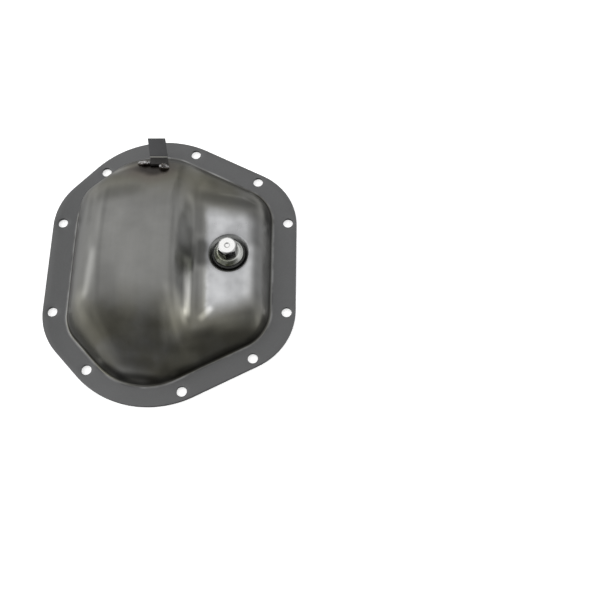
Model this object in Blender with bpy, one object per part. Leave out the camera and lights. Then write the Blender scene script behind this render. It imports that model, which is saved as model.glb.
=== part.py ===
"""Pressed steel differential cover with its fill plug, plug seal, threaded boss and hose bracket.

Metres, +Z out of the dome. The flange's mating face lies on Z = 0, X runs along the axle
towards the fill plug, and Y runs along the flange's two straight ends. The pressing is
mirrored about the plane Y = 0. The bracket on it is not.
"""

import math

import bmesh
import bpy
from mathutils import Matrix, Vector
from mathutils.geometry import delaunay_2d_cdt

MM = 0.001

# Fits
SEAT_GAP = 0.3 * MM
THREAD_CLEARANCE = 0.3 * MM

# Sheet
SHEET_THICKNESS = 3.0 * MM

# Flange: half its length and height, and the large arc at its top and bottom. The slanted
# sides touch that arc, and the angles say which way they face.
FLANGE_END = 126.2 * MM
FLANGE_TOP = 146.2 * MM
FLANGE_TOP_X = -14.8 * MM
FLANGE_TOP_CORNER_RADIUS = 98.0 * MM
FLANGE_SIDE_CORNER_RADIUS = 65.0 * MM
PLUG_SLANT_FACING = math.radians(63.2)
GEAR_SLANT_FACING = math.radians(136.9)

# Flat land between the flange's edge and the root of the dome
END_LAND = 23.4 * MM
PLUG_SLANT_LAND = 21.4 * MM
GEAR_SLANT_LAND = 20.2 * MM
ROOT_SIDE_CORNER_RADIUS = 42.0 * MM
ROOT_TOP_CORNER_RADIUS = 66.0 * MM

# Bolt holes: two in each end, one in each slant of the plug side, two round each top corner
BOLT_HOLE_DIAMETER = 10.0 * MM
BOLT_EDGE = 9.0 * MM
GEAR_END_BOLT_EDGE = 9.8 * MM
GEAR_SLANT_BOLT_EDGE = 11.0 * MM
END_BOLT_SPACING = 98.8 * MM
PLUG_SLANT_BOLT_SHIFT = 31.9 * MM
TOP_BOLT_FACING = math.radians(68.6)
GEAR_SLANT_BOLT_FACING = math.radians(135.0)

# Dome wall: it leaves the root steeply and rolls over into the crown. How far in it reaches
# goes with the height it climbs, and the power sets how long it stays steep.
ROOT_FILLET_RADIUS = 3.0 * MM
WALL_SPREAD = 0.66
WALL_POWER = 2.6

# Ring gear bulge: one arc from the root at the bottom to the root at the top
BULGE_HEIGHT = 72.0 * MM

# Plug side plateau: flat in the middle, rounded over towards the slanted sides, and joined to
# the bulge by a step
PLATEAU_HEIGHT = 37.0 * MM
PLATEAU_LENGTH = 70.8 * MM
STEP_WIDTH = 27.0 * MM
PLATEAU_ROUND_DEPTH = 49.0 * MM
PLATEAU_ROUND_RADIUS = 54.0 * MM

# Fill plug and its seat
PLUG_SETBACK = 42.0 * MM
SEAT_RECESS_DIAMETER = 40.0 * MM
SEAT_RECESS_DEPTH = 3.6 * MM
SEAT_RECESS_DRAFT = 3.2 * MM
THREAD_DIAMETER = 20.0 * MM
SHANK_LENGTH = 13.0 * MM
HEX_ACROSS_FLATS = 17.0 * MM
HEX_HEIGHT = 12.8 * MM
HEX_TURN = math.radians(22.0)
HEX_CHAMFER = 0.6 * MM
HEX_CHAMFER_ANGLE = math.radians(30.0)
SHANK_CHAMFER = 1.2 * MM
DIMPLE_DIAMETER = 6.0 * MM
DIMPLE_DEPTH = 0.7 * MM
PLUG_FLANGE_DIAMETER = 28.6 * MM
PLUG_FLANGE_RIM = 1.4 * MM
PLUG_FLANGE_RISE = 4.0 * MM
PLUG_FLANGE_LEDGE = 1.2 * MM
SEAL_DIAMETER = 32.5 * MM
SEAL_THICKNESS = 1.2 * MM
BOSS_DIAMETER = 33.0 * MM
BOSS_HEIGHT = 9.0 * MM
BOSS_CHAMFER = 1.0 * MM

# Hose bracket: a strap whose foot lies on the top of the dome
STRAP_WIDTH = 18.2 * MM
STRAP_THICKNESS = 2.4 * MM
STRAP_SHIFT = 3.3 * MM
STRAP_TURN = math.radians(10.0)
FOOT_SETBACK = 24.8 * MM
FOOT_LENGTH = 19.0 * MM
ARM_LENGTH = 22.5 * MM
STRAP_BEND_RADIUS = 3.5 * MM
STRAP_EDGE_RADIUS = 0.35 * MM

# Weld beads: middle of the bead along the edge it lies against, then its length, width, height
SIDE_BEAD = (0.0 * MM, 10.0 * MM, 12.5 * MM, 4.4 * MM)
END_BEAD = (4.5 * MM, 11.0 * MM, 9.5 * MM, 5.0 * MM)
BEAD_CONTACT_ANGLE = math.radians(110.0)
BEAD_RIPPLES = 5
BEAD_RIPPLE_DEPTH = 0.07

# Facets
SIDE_CORNER_STEPS = 8
TOP_CORNER_STEPS = 13
GEAR_CORNER_STEPS = 6
END_STEPS = 8
PLUG_SLANT_STEPS = 9
GEAR_SLANT_STEPS = 4
FILLET_STEPS = 3
WALL_STATIONS = [0.06, 0.125, 0.21, 0.31, 0.43, 0.57, 0.73, 0.87, 1.0]
LATTICE_FINE = 3.2 * MM
LATTICE_WIDE = 7.0 * MM
LATTICE_MERGE = 0.0001 * MM
SMALLEST_LOOP_RADIUS = 5.0 * MM
HOLE_STEPS = 24
ROUND_STEPS = 36
STRAP_BEND_STEPS = 5
BEAD_STATIONS = 12
BEAD_ARC_STEPS = 7


def clear_scene():
    """Remove whatever the start-up file holds."""
    for obj in list(bpy.data.objects):
        bpy.data.objects.remove(obj, do_unlink=True)


def make_material(name, colour, roughness, metallic):
    """A plain Principled material."""
    material = bpy.data.materials.new(name)
    material.use_nodes = True
    shader = material.node_tree.nodes["Principled BSDF"]
    shader.inputs["Base Color"].default_value = (*colour, 1.0)
    shader.inputs["Roughness"].default_value = roughness
    shader.inputs["Metallic"].default_value = metallic
    return material


def make_object(name, mesh_maker, material):
    """Turn a filled bmesh into a linked object with one material."""
    mesh = bpy.data.meshes.new(name)
    bmesh.ops.recalc_face_normals(mesh_maker, faces=mesh_maker.faces)
    mesh_maker.to_mesh(mesh)
    mesh_maker.free()
    if material is not None:
        mesh.materials.append(material)
    obj = bpy.data.objects.new(name, mesh)
    bpy.context.collection.objects.link(obj)
    return obj


def shade_round(obj, sharp_angle=math.radians(35.0)):
    """Smooth shading with the real corners kept sharp."""
    obj.data.shade_smooth()
    obj.data.set_sharp_from_angle(angle=sharp_angle)


def settle(obj, sharp_angle=math.radians(35.0)):
    """Make the modifiers' result the object's own mesh, then shade it."""
    graph = bpy.context.evaluated_depsgraph_get()
    mesh = bpy.data.meshes.new_from_object(obj.evaluated_get(graph))
    obj.modifiers.clear()
    obj.data = mesh
    shade_round(obj, sharp_angle)


def make_cutter(name, mesh_maker):
    """A hidden object that only shapes another."""
    cutter = make_object(name, mesh_maker, None)
    cutter.hide_render = True
    cutter.display_type = "WIRE"
    return cutter


def combine(obj, other, operation):
    modifier = obj.modifiers.new(other.name, "BOOLEAN")
    modifier.operation = operation
    modifier.solver = "EXACT"
    modifier.object = other


def cut(obj, cutter):
    """Take the cutter out of the object."""
    combine(obj, cutter, "DIFFERENCE")


def fuse(obj, addition):
    """Make the addition one with the object."""
    combine(obj, addition, "UNION")


def flange_sides():
    """The straight sides, anticlockwise from the plug end, as (facing, distance from the origin)."""
    corner = Vector((FLANGE_TOP_X, FLANGE_TOP - FLANGE_TOP_CORNER_RADIUS))
    plug_slant = facing_vector(PLUG_SLANT_FACING).dot(corner) + FLANGE_TOP_CORNER_RADIUS
    gear_slant = facing_vector(GEAR_SLANT_FACING).dot(corner) + FLANGE_TOP_CORNER_RADIUS
    return [
        (0.0, FLANGE_END),
        (PLUG_SLANT_FACING, plug_slant),
        (GEAR_SLANT_FACING, gear_slant),
        (math.pi, FLANGE_END),
        (-GEAR_SLANT_FACING, gear_slant),
        (-PLUG_SLANT_FACING, plug_slant),
    ]


def root_sides(inset=0.0):
    """The sides of the dome's root, or of a loop that lies inside it."""
    lands = [END_LAND, PLUG_SLANT_LAND, GEAR_SLANT_LAND, END_LAND, GEAR_SLANT_LAND, PLUG_SLANT_LAND]
    sides = zip(flange_sides(), lands)
    return [(facing, distance - land - inset) for (facing, distance), land in sides]


def facing_vector(angle):
    return Vector((math.cos(angle), math.sin(angle)))


def meeting_point(side_a, side_b):
    """Where two sides would meet without a corner radius."""
    a, b = facing_vector(side_a[0]), facing_vector(side_b[0])
    cross = a.x * b.y - a.y * b.x
    x = (side_a[1] * b.y - side_b[1] * a.y) / cross
    y = (a.x * side_b[1] - b.x * side_a[1]) / cross
    return Vector((x, y))


def corner_centre(side_a, side_b, radius):
    """Centre of the arc that rounds the corner between two sides."""
    return meeting_point((side_a[0], side_a[1] - radius), (side_b[0], side_b[1] - radius))


def rounded_loop(sides, side_radius, top_radius):
    """Points round the six sides with an arc at each corner, always in the same number."""
    corner_steps = [
        SIDE_CORNER_STEPS,
        TOP_CORNER_STEPS,
        GEAR_CORNER_STEPS,
        GEAR_CORNER_STEPS,
        TOP_CORNER_STEPS,
        SIDE_CORNER_STEPS,
    ]
    side_steps = [
        PLUG_SLANT_STEPS,
        GEAR_SLANT_STEPS,
        END_STEPS,
        GEAR_SLANT_STEPS,
        PLUG_SLANT_STEPS,
        END_STEPS,
    ]
    radii = [side_radius, top_radius, side_radius, side_radius, top_radius, side_radius]
    arcs = []
    for index, radius in enumerate(radii):
        side_a = sides[index]
        side_b = sides[(index + 1) % 6]
        centre = corner_centre(side_a, side_b, radius)
        turn = (side_b[0] - side_a[0]) % (2.0 * math.pi)
        steps = corner_steps[index]
        angles = [side_a[0] + turn * k / steps for k in range(steps + 1)]
        arcs.append([centre + radius * facing_vector(angle) for angle in angles])
    loop = []
    for index, arc in enumerate(arcs):
        following = arcs[(index + 1) % 6]
        loop.extend(arc)
        steps = side_steps[index]
        for k in range(1, steps):
            loop.append(arc[-1].lerp(following[0], k / steps))
    return loop


def inset_loop(inset):
    """The root's outline moved inwards, its corners turned about the same centres."""
    side_radius = max(ROOT_SIDE_CORNER_RADIUS - inset, SMALLEST_LOOP_RADIUS)
    top_radius = max(ROOT_TOP_CORNER_RADIUS - inset, SMALLEST_LOOP_RADIUS)
    return rounded_loop(root_sides(inset), side_radius, top_radius)


def root_top():
    """The root's highest point in Y, at the top of its corner arc."""
    sides = root_sides()
    centre = corner_centre(sides[1], sides[2], ROOT_TOP_CORNER_RADIUS)
    return Vector((centre.x, centre.y + ROOT_TOP_CORNER_RADIUS))


def step_end():
    """X of the step's foot, where the plateau starts."""
    return root_sides()[0][1] - PLATEAU_LENGTH


def smooth_step(value):
    """0 to 1 with level ends."""
    value = min(max(value, 0.0), 1.0)
    return value * value * value * (value * (6.0 * value - 15.0) + 10.0)


def wall_angle():
    """Slope of the wall where it leaves the root."""
    return math.atan(WALL_POWER / WALL_SPREAD)


def fillet_tangent():
    """Distance from the fillet's start to where the wall would meet the flange without it."""
    return ROOT_FILLET_RADIUS * math.tan(wall_angle() / 2.0)


def bulge_radius():
    """Radius of the arc that climbs from the flange at the root to the bulge's height."""
    climb = BULGE_HEIGHT - SHEET_THICKNESS
    return (root_top().y ** 2 + climb**2) / (2.0 * climb)


def bulge_height(y):
    """Height of the ring gear bulge: an arc that falls away on both sides of the axle."""
    radius = bulge_radius()
    return BULGE_HEIGHT - (radius - math.sqrt(max(radius**2 - y * y, 0.0)))


def plateau_height(x, y):
    """Height of the plug side, rounded over towards its slanted side."""
    facing, distance = root_sides()[1]
    inset = distance - facing_vector(facing).dot(Vector((x, abs(y))))
    across = min(max(PLATEAU_ROUND_DEPTH - inset, 0.0), PLATEAU_ROUND_RADIUS)
    return PLATEAU_HEIGHT - (PLATEAU_ROUND_RADIUS - math.sqrt(PLATEAU_ROUND_RADIUS**2 - across**2))


def crown_height(x, y):
    """Height of the dome's top: the bulge, the step and the plateau."""
    high = bulge_height(y)
    low = min(plateau_height(x, y), high)
    return high + (low - high) * smooth_step(1.0 + (x - step_end()) / STEP_WIDTH)


def inset_of(x, y):
    """Distance inside the nearest straight side of the root."""
    point = Vector((x, abs(y)))
    return min(distance - facing_vector(facing).dot(point) for facing, distance in root_sides()[:4])


def wall_insets():
    """Distances inside the root of the loops over the wall, up to the highest wall's full reach."""
    reach = (BULGE_HEIGHT - SHEET_THICKNESS) * WALL_SPREAD
    return [fillet_tangent() + reach * station for station in WALL_STATIONS]


def dome_height(x, y, inset):
    """Outer surface of the pressing at a point and its distance inside the root."""
    climb = max(crown_height(x, y) - SHEET_THICKNESS, 0.0)
    reach = max(climb * WALL_SPREAD, ROOT_FILLET_RADIUS)
    left = 1.0 - min(max(inset - fillet_tangent(), 0.0) / reach, 1.0)
    return SHEET_THICKNESS + climb * (1.0 - left**WALL_POWER)


def fillet_profile():
    """Inset and height along the root's fillet, from the flat land to the start of the wall."""
    points = []
    for k in range(FILLET_STEPS + 1):
        angle = wall_angle() * k / FILLET_STEPS
        inset = ROOT_FILLET_RADIUS * math.sin(angle)
        height = SHEET_THICKNESS + ROOT_FILLET_RADIUS * (1.0 - math.cos(angle))
        points.append((inset, height))
    return points


def skin_loops():
    """The outer skin as nested loops, from the flange's edge to where the wall has rolled over."""
    outline = rounded_loop(flange_sides(), FLANGE_SIDE_CORNER_RADIUS, FLANGE_TOP_CORNER_RADIUS)
    loops = [[Vector((p.x, p.y, SHEET_THICKNESS)) for p in outline]]
    loops.append([Vector((p.x, p.y, SHEET_THICKNESS)) for p in inset_loop(-ROOT_FILLET_RADIUS)])
    for inset, height in fillet_profile():
        loop = []
        for p in inset_loop(inset):
            crown = max(crown_height(p.x, p.y), SHEET_THICKNESS)
            loop.append(Vector((p.x, p.y, min(height, crown))))
        loops.append(loop)
    for inset in wall_insets():
        loops.append([Vector((p.x, p.y, dome_height(p.x, p.y, inset))) for p in inset_loop(inset)])
    return loops


def crown_columns(left, right):
    """X of the crown's lattice: close together on the step, wide apart beside it."""
    columns = []
    middle = step_end() - STEP_WIDTH / 2.0
    x = middle
    while x < right:
        columns.append(x)
        x += LATTICE_FINE if x < middle + STEP_WIDTH / 2.0 else LATTICE_WIDE
    x = middle - LATTICE_FINE
    while x > left:
        columns.append(x)
        x -= LATTICE_FINE if x > middle - STEP_WIDTH / 2.0 else LATTICE_WIDE
    return sorted(columns)


def crown_lattice():
    """Points over the crown that keep clear of the innermost wall loop."""
    innermost = wall_insets()[-1]
    clear = innermost + LATTICE_FINE
    boundary = inset_loop(innermost)
    left = min(p.x for p in boundary)
    right = max(p.x for p in boundary)
    half_rows = int(FLANGE_TOP / LATTICE_WIDE)
    points = []
    for x in crown_columns(left, right):
        for row in range(-half_rows, half_rows + 1):
            y = row * LATTICE_WIDE
            if inset_of(x, y) > clear:
                points.append(Vector((x, y)))
    return points


def add_crown(maker, ring):
    """Cover the space inside the innermost ring with triangles over the crown's lattice."""
    count = len(ring)
    boundary = [vertex.co.xy for vertex in ring]
    points = boundary + crown_lattice()
    border = [(i, (i + 1) % count) for i in range(count)]
    inside = 1
    flat, _, triangles, _, _, _ = delaunay_2d_cdt(points, border, [], inside, LATTICE_MERGE)
    vertices = list(ring)
    for p in flat[count:]:
        vertices.append(maker.verts.new((p.x, p.y, crown_height(p.x, p.y))))
    for triangle in triangles:
        maker.faces.new([vertices[i] for i in triangle])


def bridge(maker, ring_a, ring_b):
    """Quads between two rings of the same count."""
    count = len(ring_a)
    for i in range(count):
        j = (i + 1) % count
        maker.faces.new((ring_a[i], ring_a[j], ring_b[j], ring_b[i]))


def round_ring(radius, height, steps):
    """Points round a level circle about the vertical line through the origin."""
    points = []
    for k in range(steps):
        angle = 2.0 * math.pi * k / steps
        points.append(Vector((radius * math.cos(angle), radius * math.sin(angle), height)))
    return points


def add_rings(maker, rings, centre):
    """Put rings of points in the mesh, each joined to the one before."""
    made = [[maker.verts.new(centre + point) for point in ring] for ring in rings]
    for lower, upper in zip(made, made[1:]):
        bridge(maker, lower, upper)
    return made


def add_solid_of_rings(maker, rings, centre):
    """A body between its first and last ring, both capped."""
    made = add_rings(maker, rings, centre)
    maker.faces.new(list(reversed(made[0])))
    maker.faces.new(made[-1])


def add_hollow_of_rings(maker, rings, centre):
    """A ring shaped body whose last ring of points joins its first."""
    made = add_rings(maker, rings, centre)
    bridge(maker, made[-1], made[0])


def turned(profile, steps):
    """The rings of a (radius, height) profile turned about a vertical line."""
    return [round_ring(radius, height, steps) for radius, height in profile]


def side_point(side, edge, along):
    """A point inside a straight side, at a distance along it from the foot of its normal."""
    normal = facing_vector(side[0])
    return normal * (side[1] - edge) + Vector((-normal.y, normal.x)) * along


def bolt_hole_centres():
    """Five holes over the mirror plane and the same five under it."""
    sides = flange_sides()
    corner = corner_centre(sides[1], sides[2], FLANGE_TOP_CORNER_RADIUS)
    upper = [
        side_point(sides[0], BOLT_EDGE, END_BOLT_SPACING / 2.0),
        side_point(sides[1], BOLT_EDGE, -PLUG_SLANT_BOLT_SHIFT),
        corner + facing_vector(TOP_BOLT_FACING) * (FLANGE_TOP_CORNER_RADIUS - BOLT_EDGE),
        corner + facing_vector(GEAR_SLANT_BOLT_FACING) * (FLANGE_TOP_CORNER_RADIUS - GEAR_SLANT_BOLT_EDGE),
        side_point(sides[3], GEAR_END_BOLT_EDGE, -END_BOLT_SPACING / 2.0),
    ]
    lower = [Vector((p.x, -p.y)) for p in upper]
    return [Vector((p.x, p.y, 0.0)) for p in upper + lower]


def make_bolt_hole_cutter():
    """Ten straight drills through the flange."""
    maker = bmesh.new()
    radius = BOLT_HOLE_DIAMETER / 2.0
    profile = [(radius, -SHEET_THICKNESS), (radius, 2.0 * SHEET_THICKNESS)]
    for centre in bolt_hole_centres():
        add_solid_of_rings(maker, turned(profile, HOLE_STEPS), centre)
    return make_cutter("bolt_hole_cutter", maker)


def seat_floor():
    """Height of the dished seat's floor round the fill hole."""
    return PLATEAU_HEIGHT - SEAT_RECESS_DEPTH


def make_seat_bottom():
    """Sheet under the dished seat: a cone frustum that ends inside the plateau's sheet."""
    maker = bmesh.new()
    low = seat_floor() - SHEET_THICKNESS
    lap = SHEET_THICKNESS / 2.0
    slope = SEAT_RECESS_DRAFT / SEAT_RECESS_DEPTH
    step_out = SHEET_THICKNESS * math.tan(math.atan(1.0 / slope) / 2.0)
    foot = SEAT_RECESS_DIAMETER / 2.0 - SEAT_RECESS_DRAFT + step_out
    profile = [(foot, low), (foot + (SEAT_RECESS_DEPTH + lap) * slope, low + SEAT_RECESS_DEPTH + lap)]
    add_solid_of_rings(maker, turned(profile, ROUND_STEPS), plug_axis())
    return make_cutter("seat_bottom", maker)


def make_fill_hole_cutter():
    """The dished seat's hollow and the hole for the plug's shank, as one stepped shape."""
    maker = bmesh.new()
    floor = seat_floor()
    hole = THREAD_DIAMETER / 2.0 + 2.0 * THREAD_CLEARANCE
    mouth = SEAT_RECESS_DIAMETER / 2.0
    profile = [
        (hole, floor - 2.0 * SHEET_THICKNESS),
        (hole, floor),
        (mouth - SEAT_RECESS_DRAFT, floor),
        (mouth, PLATEAU_HEIGHT),
        (mouth, PLATEAU_HEIGHT + SHEET_THICKNESS),
    ]
    add_solid_of_rings(maker, turned(profile, ROUND_STEPS), plug_axis())
    return make_cutter("fill_hole_cutter", maker)


def make_cover_shell(material):
    """The pressing: one skin of nested loops, thickened inwards and pierced."""
    maker = bmesh.new()
    rings = add_rings(maker, skin_loops(), Vector())
    add_crown(maker, rings[-1])
    shell = make_object("cover_shell", maker, material)
    sheet = shell.modifiers.new("sheet", "SOLIDIFY")
    sheet.thickness = SHEET_THICKNESS
    sheet.offset = -1.0
    sheet.use_even_offset = False
    fuse(shell, make_seat_bottom())
    cut(shell, make_bolt_hole_cutter())
    cut(shell, make_fill_hole_cutter())
    settle(shell)
    return shell


def plug_axis():
    """Foot of the plug's vertical axis, set back from the root at the plug end."""
    return Vector((root_sides()[0][1] - PLUG_SETBACK, 0.0, 0.0))


def seal_bottom():
    return seat_floor() + SEAT_GAP


def plug_seat():
    """Height of the underside of the plug's flange."""
    return seal_bottom() + SEAL_THICKNESS + SEAT_GAP


def make_plug_seal(material):
    maker = bmesh.new()
    inner = THREAD_DIAMETER / 2.0 + THREAD_CLEARANCE
    outer = SEAL_DIAMETER / 2.0
    edge = SEAL_THICKNESS / 4.0
    low = seal_bottom()
    high = low + SEAL_THICKNESS
    profile = [
        (inner, low),
        (outer - edge, low),
        (outer, low + edge),
        (outer, high - edge),
        (outer - edge, high),
        (inner, high),
    ]
    add_hollow_of_rings(maker, turned(profile, ROUND_STEPS), plug_axis())
    seal = make_object("plug_seal", maker, material)
    shade_round(seal)
    return seal


def make_plug_boss(material):
    """Round threaded boss under the seat."""
    maker = bmesh.new()
    inner = THREAD_DIAMETER / 2.0 + THREAD_CLEARANCE
    outer = BOSS_DIAMETER / 2.0
    high = seat_floor() - SHEET_THICKNESS - SEAT_GAP
    low = high - BOSS_HEIGHT
    profile = [
        (inner + BOSS_CHAMFER, low),
        (outer - BOSS_CHAMFER, low),
        (outer, low + BOSS_CHAMFER),
        (outer, high),
        (inner, high),
        (inner, low + BOSS_CHAMFER),
    ]
    add_hollow_of_rings(maker, turned(profile, ROUND_STEPS), plug_axis())
    boss = make_object("plug_boss", maker, material)
    shade_round(boss)
    return boss


def hex_radius(angle):
    """Distance from a hexagon's middle to its edge, with a corner at angle 0."""
    from_flat = angle % (math.pi / 3.0) - math.pi / 6.0
    return HEX_ACROSS_FLATS / 2.0 / math.cos(from_flat)


def hex_head_rings(head_base, head_top, steps):
    """The six flats and the coned chamfer that cuts into their corners."""
    face_radius = HEX_ACROSS_FLATS / 2.0 - HEX_CHAMFER
    foot_ring = []
    chamfer_ring = []
    for k in range(steps):
        angle = 2.0 * math.pi * k / steps
        radius = hex_radius(angle)
        x = radius * math.cos(angle)
        y = radius * math.sin(angle)
        drop = (radius - face_radius) * math.tan(HEX_CHAMFER_ANGLE)
        foot_ring.append(Vector((x, y, head_base)))
        chamfer_ring.append(Vector((x, y, head_top - drop)))
    return [foot_ring, chamfer_ring, round_ring(face_radius, head_top, steps)]


def make_fill_plug(material):
    """Plug with a shank, a coned flange and a hexagonal head with a dimple in its face."""
    maker = bmesh.new()
    shank = THREAD_DIAMETER / 2.0
    flange = PLUG_FLANGE_DIAMETER / 2.0
    corner = HEX_ACROSS_FLATS / math.sqrt(3.0)
    dimple = DIMPLE_DIAMETER / 2.0
    seat = plug_seat()
    tip = seat - SHANK_LENGTH
    rim = seat + PLUG_FLANGE_RIM
    head_base = rim + PLUG_FLANGE_RISE
    head_top = head_base + HEX_HEIGHT
    below = [
        (shank - SHANK_CHAMFER, tip),
        (shank, tip + SHANK_CHAMFER),
        (shank, seat),
        (flange, seat),
        (flange, rim),
        (corner + PLUG_FLANGE_LEDGE, head_base),
    ]
    face = [(dimple, head_top), (dimple / 2.0, head_top - DIMPLE_DEPTH)]
    rings = turned(below, ROUND_STEPS)
    rings += hex_head_rings(head_base, head_top, ROUND_STEPS)
    rings += turned(face, ROUND_STEPS)
    turn = Matrix.Rotation(HEX_TURN, 3, "Z")
    add_solid_of_rings(maker, [[turn @ p for p in ring] for ring in rings], plug_axis())
    plug = make_object("fill_plug", maker, material)
    shade_round(plug, math.radians(20.0))
    return plug


def foot_frame():
    """Slope of the dome under the foot's middle, that middle, and the dome's normal there."""
    top = root_top()
    y = top.y - FOOT_SETBACK
    slope = math.asin(y / bulge_radius())
    middle = Vector((top.x + STRAP_SHIFT, y, bulge_height(y)))
    normal = Vector((0.0, math.sin(slope), math.cos(slope)))
    return slope, middle, normal


def strap_section():
    """The strap seen from its side: (distance along it, underside point, its up direction)."""
    slope = foot_frame()[0]
    half_foot = FOOT_LENGTH / 2.0
    along_foot = Vector((math.cos(slope), -math.sin(slope)))
    foot_up = Vector((math.sin(slope), math.cos(slope)))
    outer_radius = STRAP_BEND_RADIUS + STRAP_THICKNESS
    bend_centre = along_foot * half_foot + foot_up * outer_radius
    section = [(-half_foot, -along_foot * half_foot, foot_up)]
    for k in range(STRAP_BEND_STEPS + 1):
        bent = slope * k / STRAP_BEND_STEPS
        angle = bent - slope
        up = Vector((-math.sin(angle), math.cos(angle)))
        section.append((half_foot + bent * outer_radius, bend_centre - up * outer_radius, up))
    distance, under, up = section[-1]
    section.append((distance + ARM_LENGTH, under + Vector((ARM_LENGTH, 0.0)), up))
    return section


def foot_placement():
    """From the foot's own frame to the dome, lifted by the seat gap."""
    _, middle, normal = foot_frame()
    return Matrix.Translation(middle + normal * SEAT_GAP)


def make_hose_bracket(material):
    """Flat bar bent once across: a foot on the dome and a level arm over the flange."""
    maker = bmesh.new()
    half = STRAP_WIDTH / 2.0 / math.cos(STRAP_TURN)
    rings = []
    for distance, under, up in strap_section():
        over = under + up * STRAP_THICKNESS
        shift = -distance * math.tan(STRAP_TURN)
        corners = [(-half, under), (half, under), (half, over), (-half, over)]
        rings.append([Vector((x + shift, p.x, p.y)) for x, p in corners])
    add_solid_of_rings(maker, rings, Vector())
    maker.transform(foot_placement())
    bracket = make_object("hose_bracket", maker, material)
    edges = bracket.modifiers.new("sheared_edges", "BEVEL")
    edges.width = STRAP_EDGE_RADIUS
    edges.segments = 1
    edges.limit_method = "ANGLE"
    edges.angle_limit = math.radians(60.0)
    settle(bracket)
    return bracket


def bead_rings(middle, length, width, height):
    """Sections of a bead as (along, out, lift), thin at its ends, rippled, with one straight edge."""
    hidden = math.cos(BEAD_CONTACT_ANGLE)
    rings = []
    for station in range(BEAD_STATIONS):
        place = (2.0 * station + 1.0) / BEAD_STATIONS - 1.0
        fullness = math.sqrt(1.0 - place * place)
        ripple = 1.0 + BEAD_RIPPLE_DEPTH * math.cos(place * BEAD_RIPPLES * math.pi)
        along = middle + place * length / 2.0
        ring = [(along, 0.0, 0.0)]
        for k in range(BEAD_ARC_STEPS + 1):
            angle = BEAD_CONTACT_ANGLE * (1.0 - k / BEAD_ARC_STEPS)
            out = (math.cos(angle) - hidden) / (1.0 - hidden)
            lift = math.sin(angle) * height * fullness * ripple
            ring.append((along, out * width * fullness * ripple, lift))
        rings.append(ring)
    return rings


def lay_bead(rings, to_foot):
    """Bend a bead's sections onto the dome, lifted by the seat gap."""
    slope = foot_frame()[0]
    placement = foot_placement()
    laid = []
    for section in rings:
        ring = []
        for along, out, lift in section:
            across, down = to_foot(along, out)
            flat = Vector((across - down * math.tan(STRAP_TURN), down * math.cos(slope), 0.0))
            on_slope = placement @ flat
            floor = bulge_height(on_slope.y) + SEAT_GAP / math.cos(slope)
            ring.append(Vector((on_slope.x, on_slope.y, floor + lift)))
        laid.append(ring)
    return laid


def side_bead_place(along, out):
    """Against the foot's edge away from the fill plug."""
    edge = STRAP_WIDTH / 2.0 / math.cos(STRAP_TURN) + SEAT_GAP
    return -edge - out, along


def end_bead_place(along, out):
    """Against the foot's upper end."""
    return along, -FOOT_LENGTH / 2.0 - SEAT_GAP - out


def make_weld_bead(name, bead, to_foot, material):
    """Rippled bead that lies on the dome against one edge of the strap's foot."""
    maker = bmesh.new()
    add_solid_of_rings(maker, lay_bead(bead_rings(*bead), to_foot), Vector())
    bead_object = make_object(name, maker, material)
    shade_round(bead_object)
    return bead_object


def main():
    clear_scene()
    steel = make_material("pressed_steel", (0.16, 0.16, 0.17), 0.42, 1.0)
    strap_steel = make_material("strap_steel", (0.09, 0.09, 0.095), 0.5, 1.0)
    zinc = make_material("plated_steel", (0.72, 0.72, 0.66), 0.22, 1.0)
    rubber = make_material("seal_rubber", (0.015, 0.015, 0.015), 0.6, 0.0)
    weld = make_material("weld_metal", (0.3, 0.3, 0.3), 0.35, 1.0)
    make_cover_shell(steel)
    make_plug_boss(steel)
    make_plug_seal(rubber)
    make_fill_plug(zinc)
    make_hose_bracket(strap_steel)
    make_weld_bead("weld_bead_side", SIDE_BEAD, side_bead_place, weld)
    make_weld_bead("weld_bead_end", END_BEAD, end_bead_place, weld)


main()
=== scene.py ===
"""Looks of the pressed steel differential cover: fine skins, finishes, floor, light and camera."""

from math import asin, atan, atan2, cos, dist, exp, hypot, pi, radians, sin, sqrt, tan, tau

import bmesh
import bpy
from mathutils import Matrix, Vector, noise
from mathutils.geometry import delaunay_2d_cdt


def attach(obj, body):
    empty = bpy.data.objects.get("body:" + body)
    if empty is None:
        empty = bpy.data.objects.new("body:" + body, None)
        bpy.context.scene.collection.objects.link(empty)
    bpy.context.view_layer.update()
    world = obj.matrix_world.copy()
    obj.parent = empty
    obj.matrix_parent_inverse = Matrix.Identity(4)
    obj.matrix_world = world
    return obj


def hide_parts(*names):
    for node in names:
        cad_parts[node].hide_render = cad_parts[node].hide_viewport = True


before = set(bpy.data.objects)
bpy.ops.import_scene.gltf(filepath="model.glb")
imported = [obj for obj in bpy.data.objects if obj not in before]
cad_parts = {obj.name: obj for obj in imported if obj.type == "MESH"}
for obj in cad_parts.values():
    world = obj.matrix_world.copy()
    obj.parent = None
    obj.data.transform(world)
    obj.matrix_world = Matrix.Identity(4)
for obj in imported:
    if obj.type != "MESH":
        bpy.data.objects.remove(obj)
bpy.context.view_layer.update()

MM = 0.001

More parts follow.
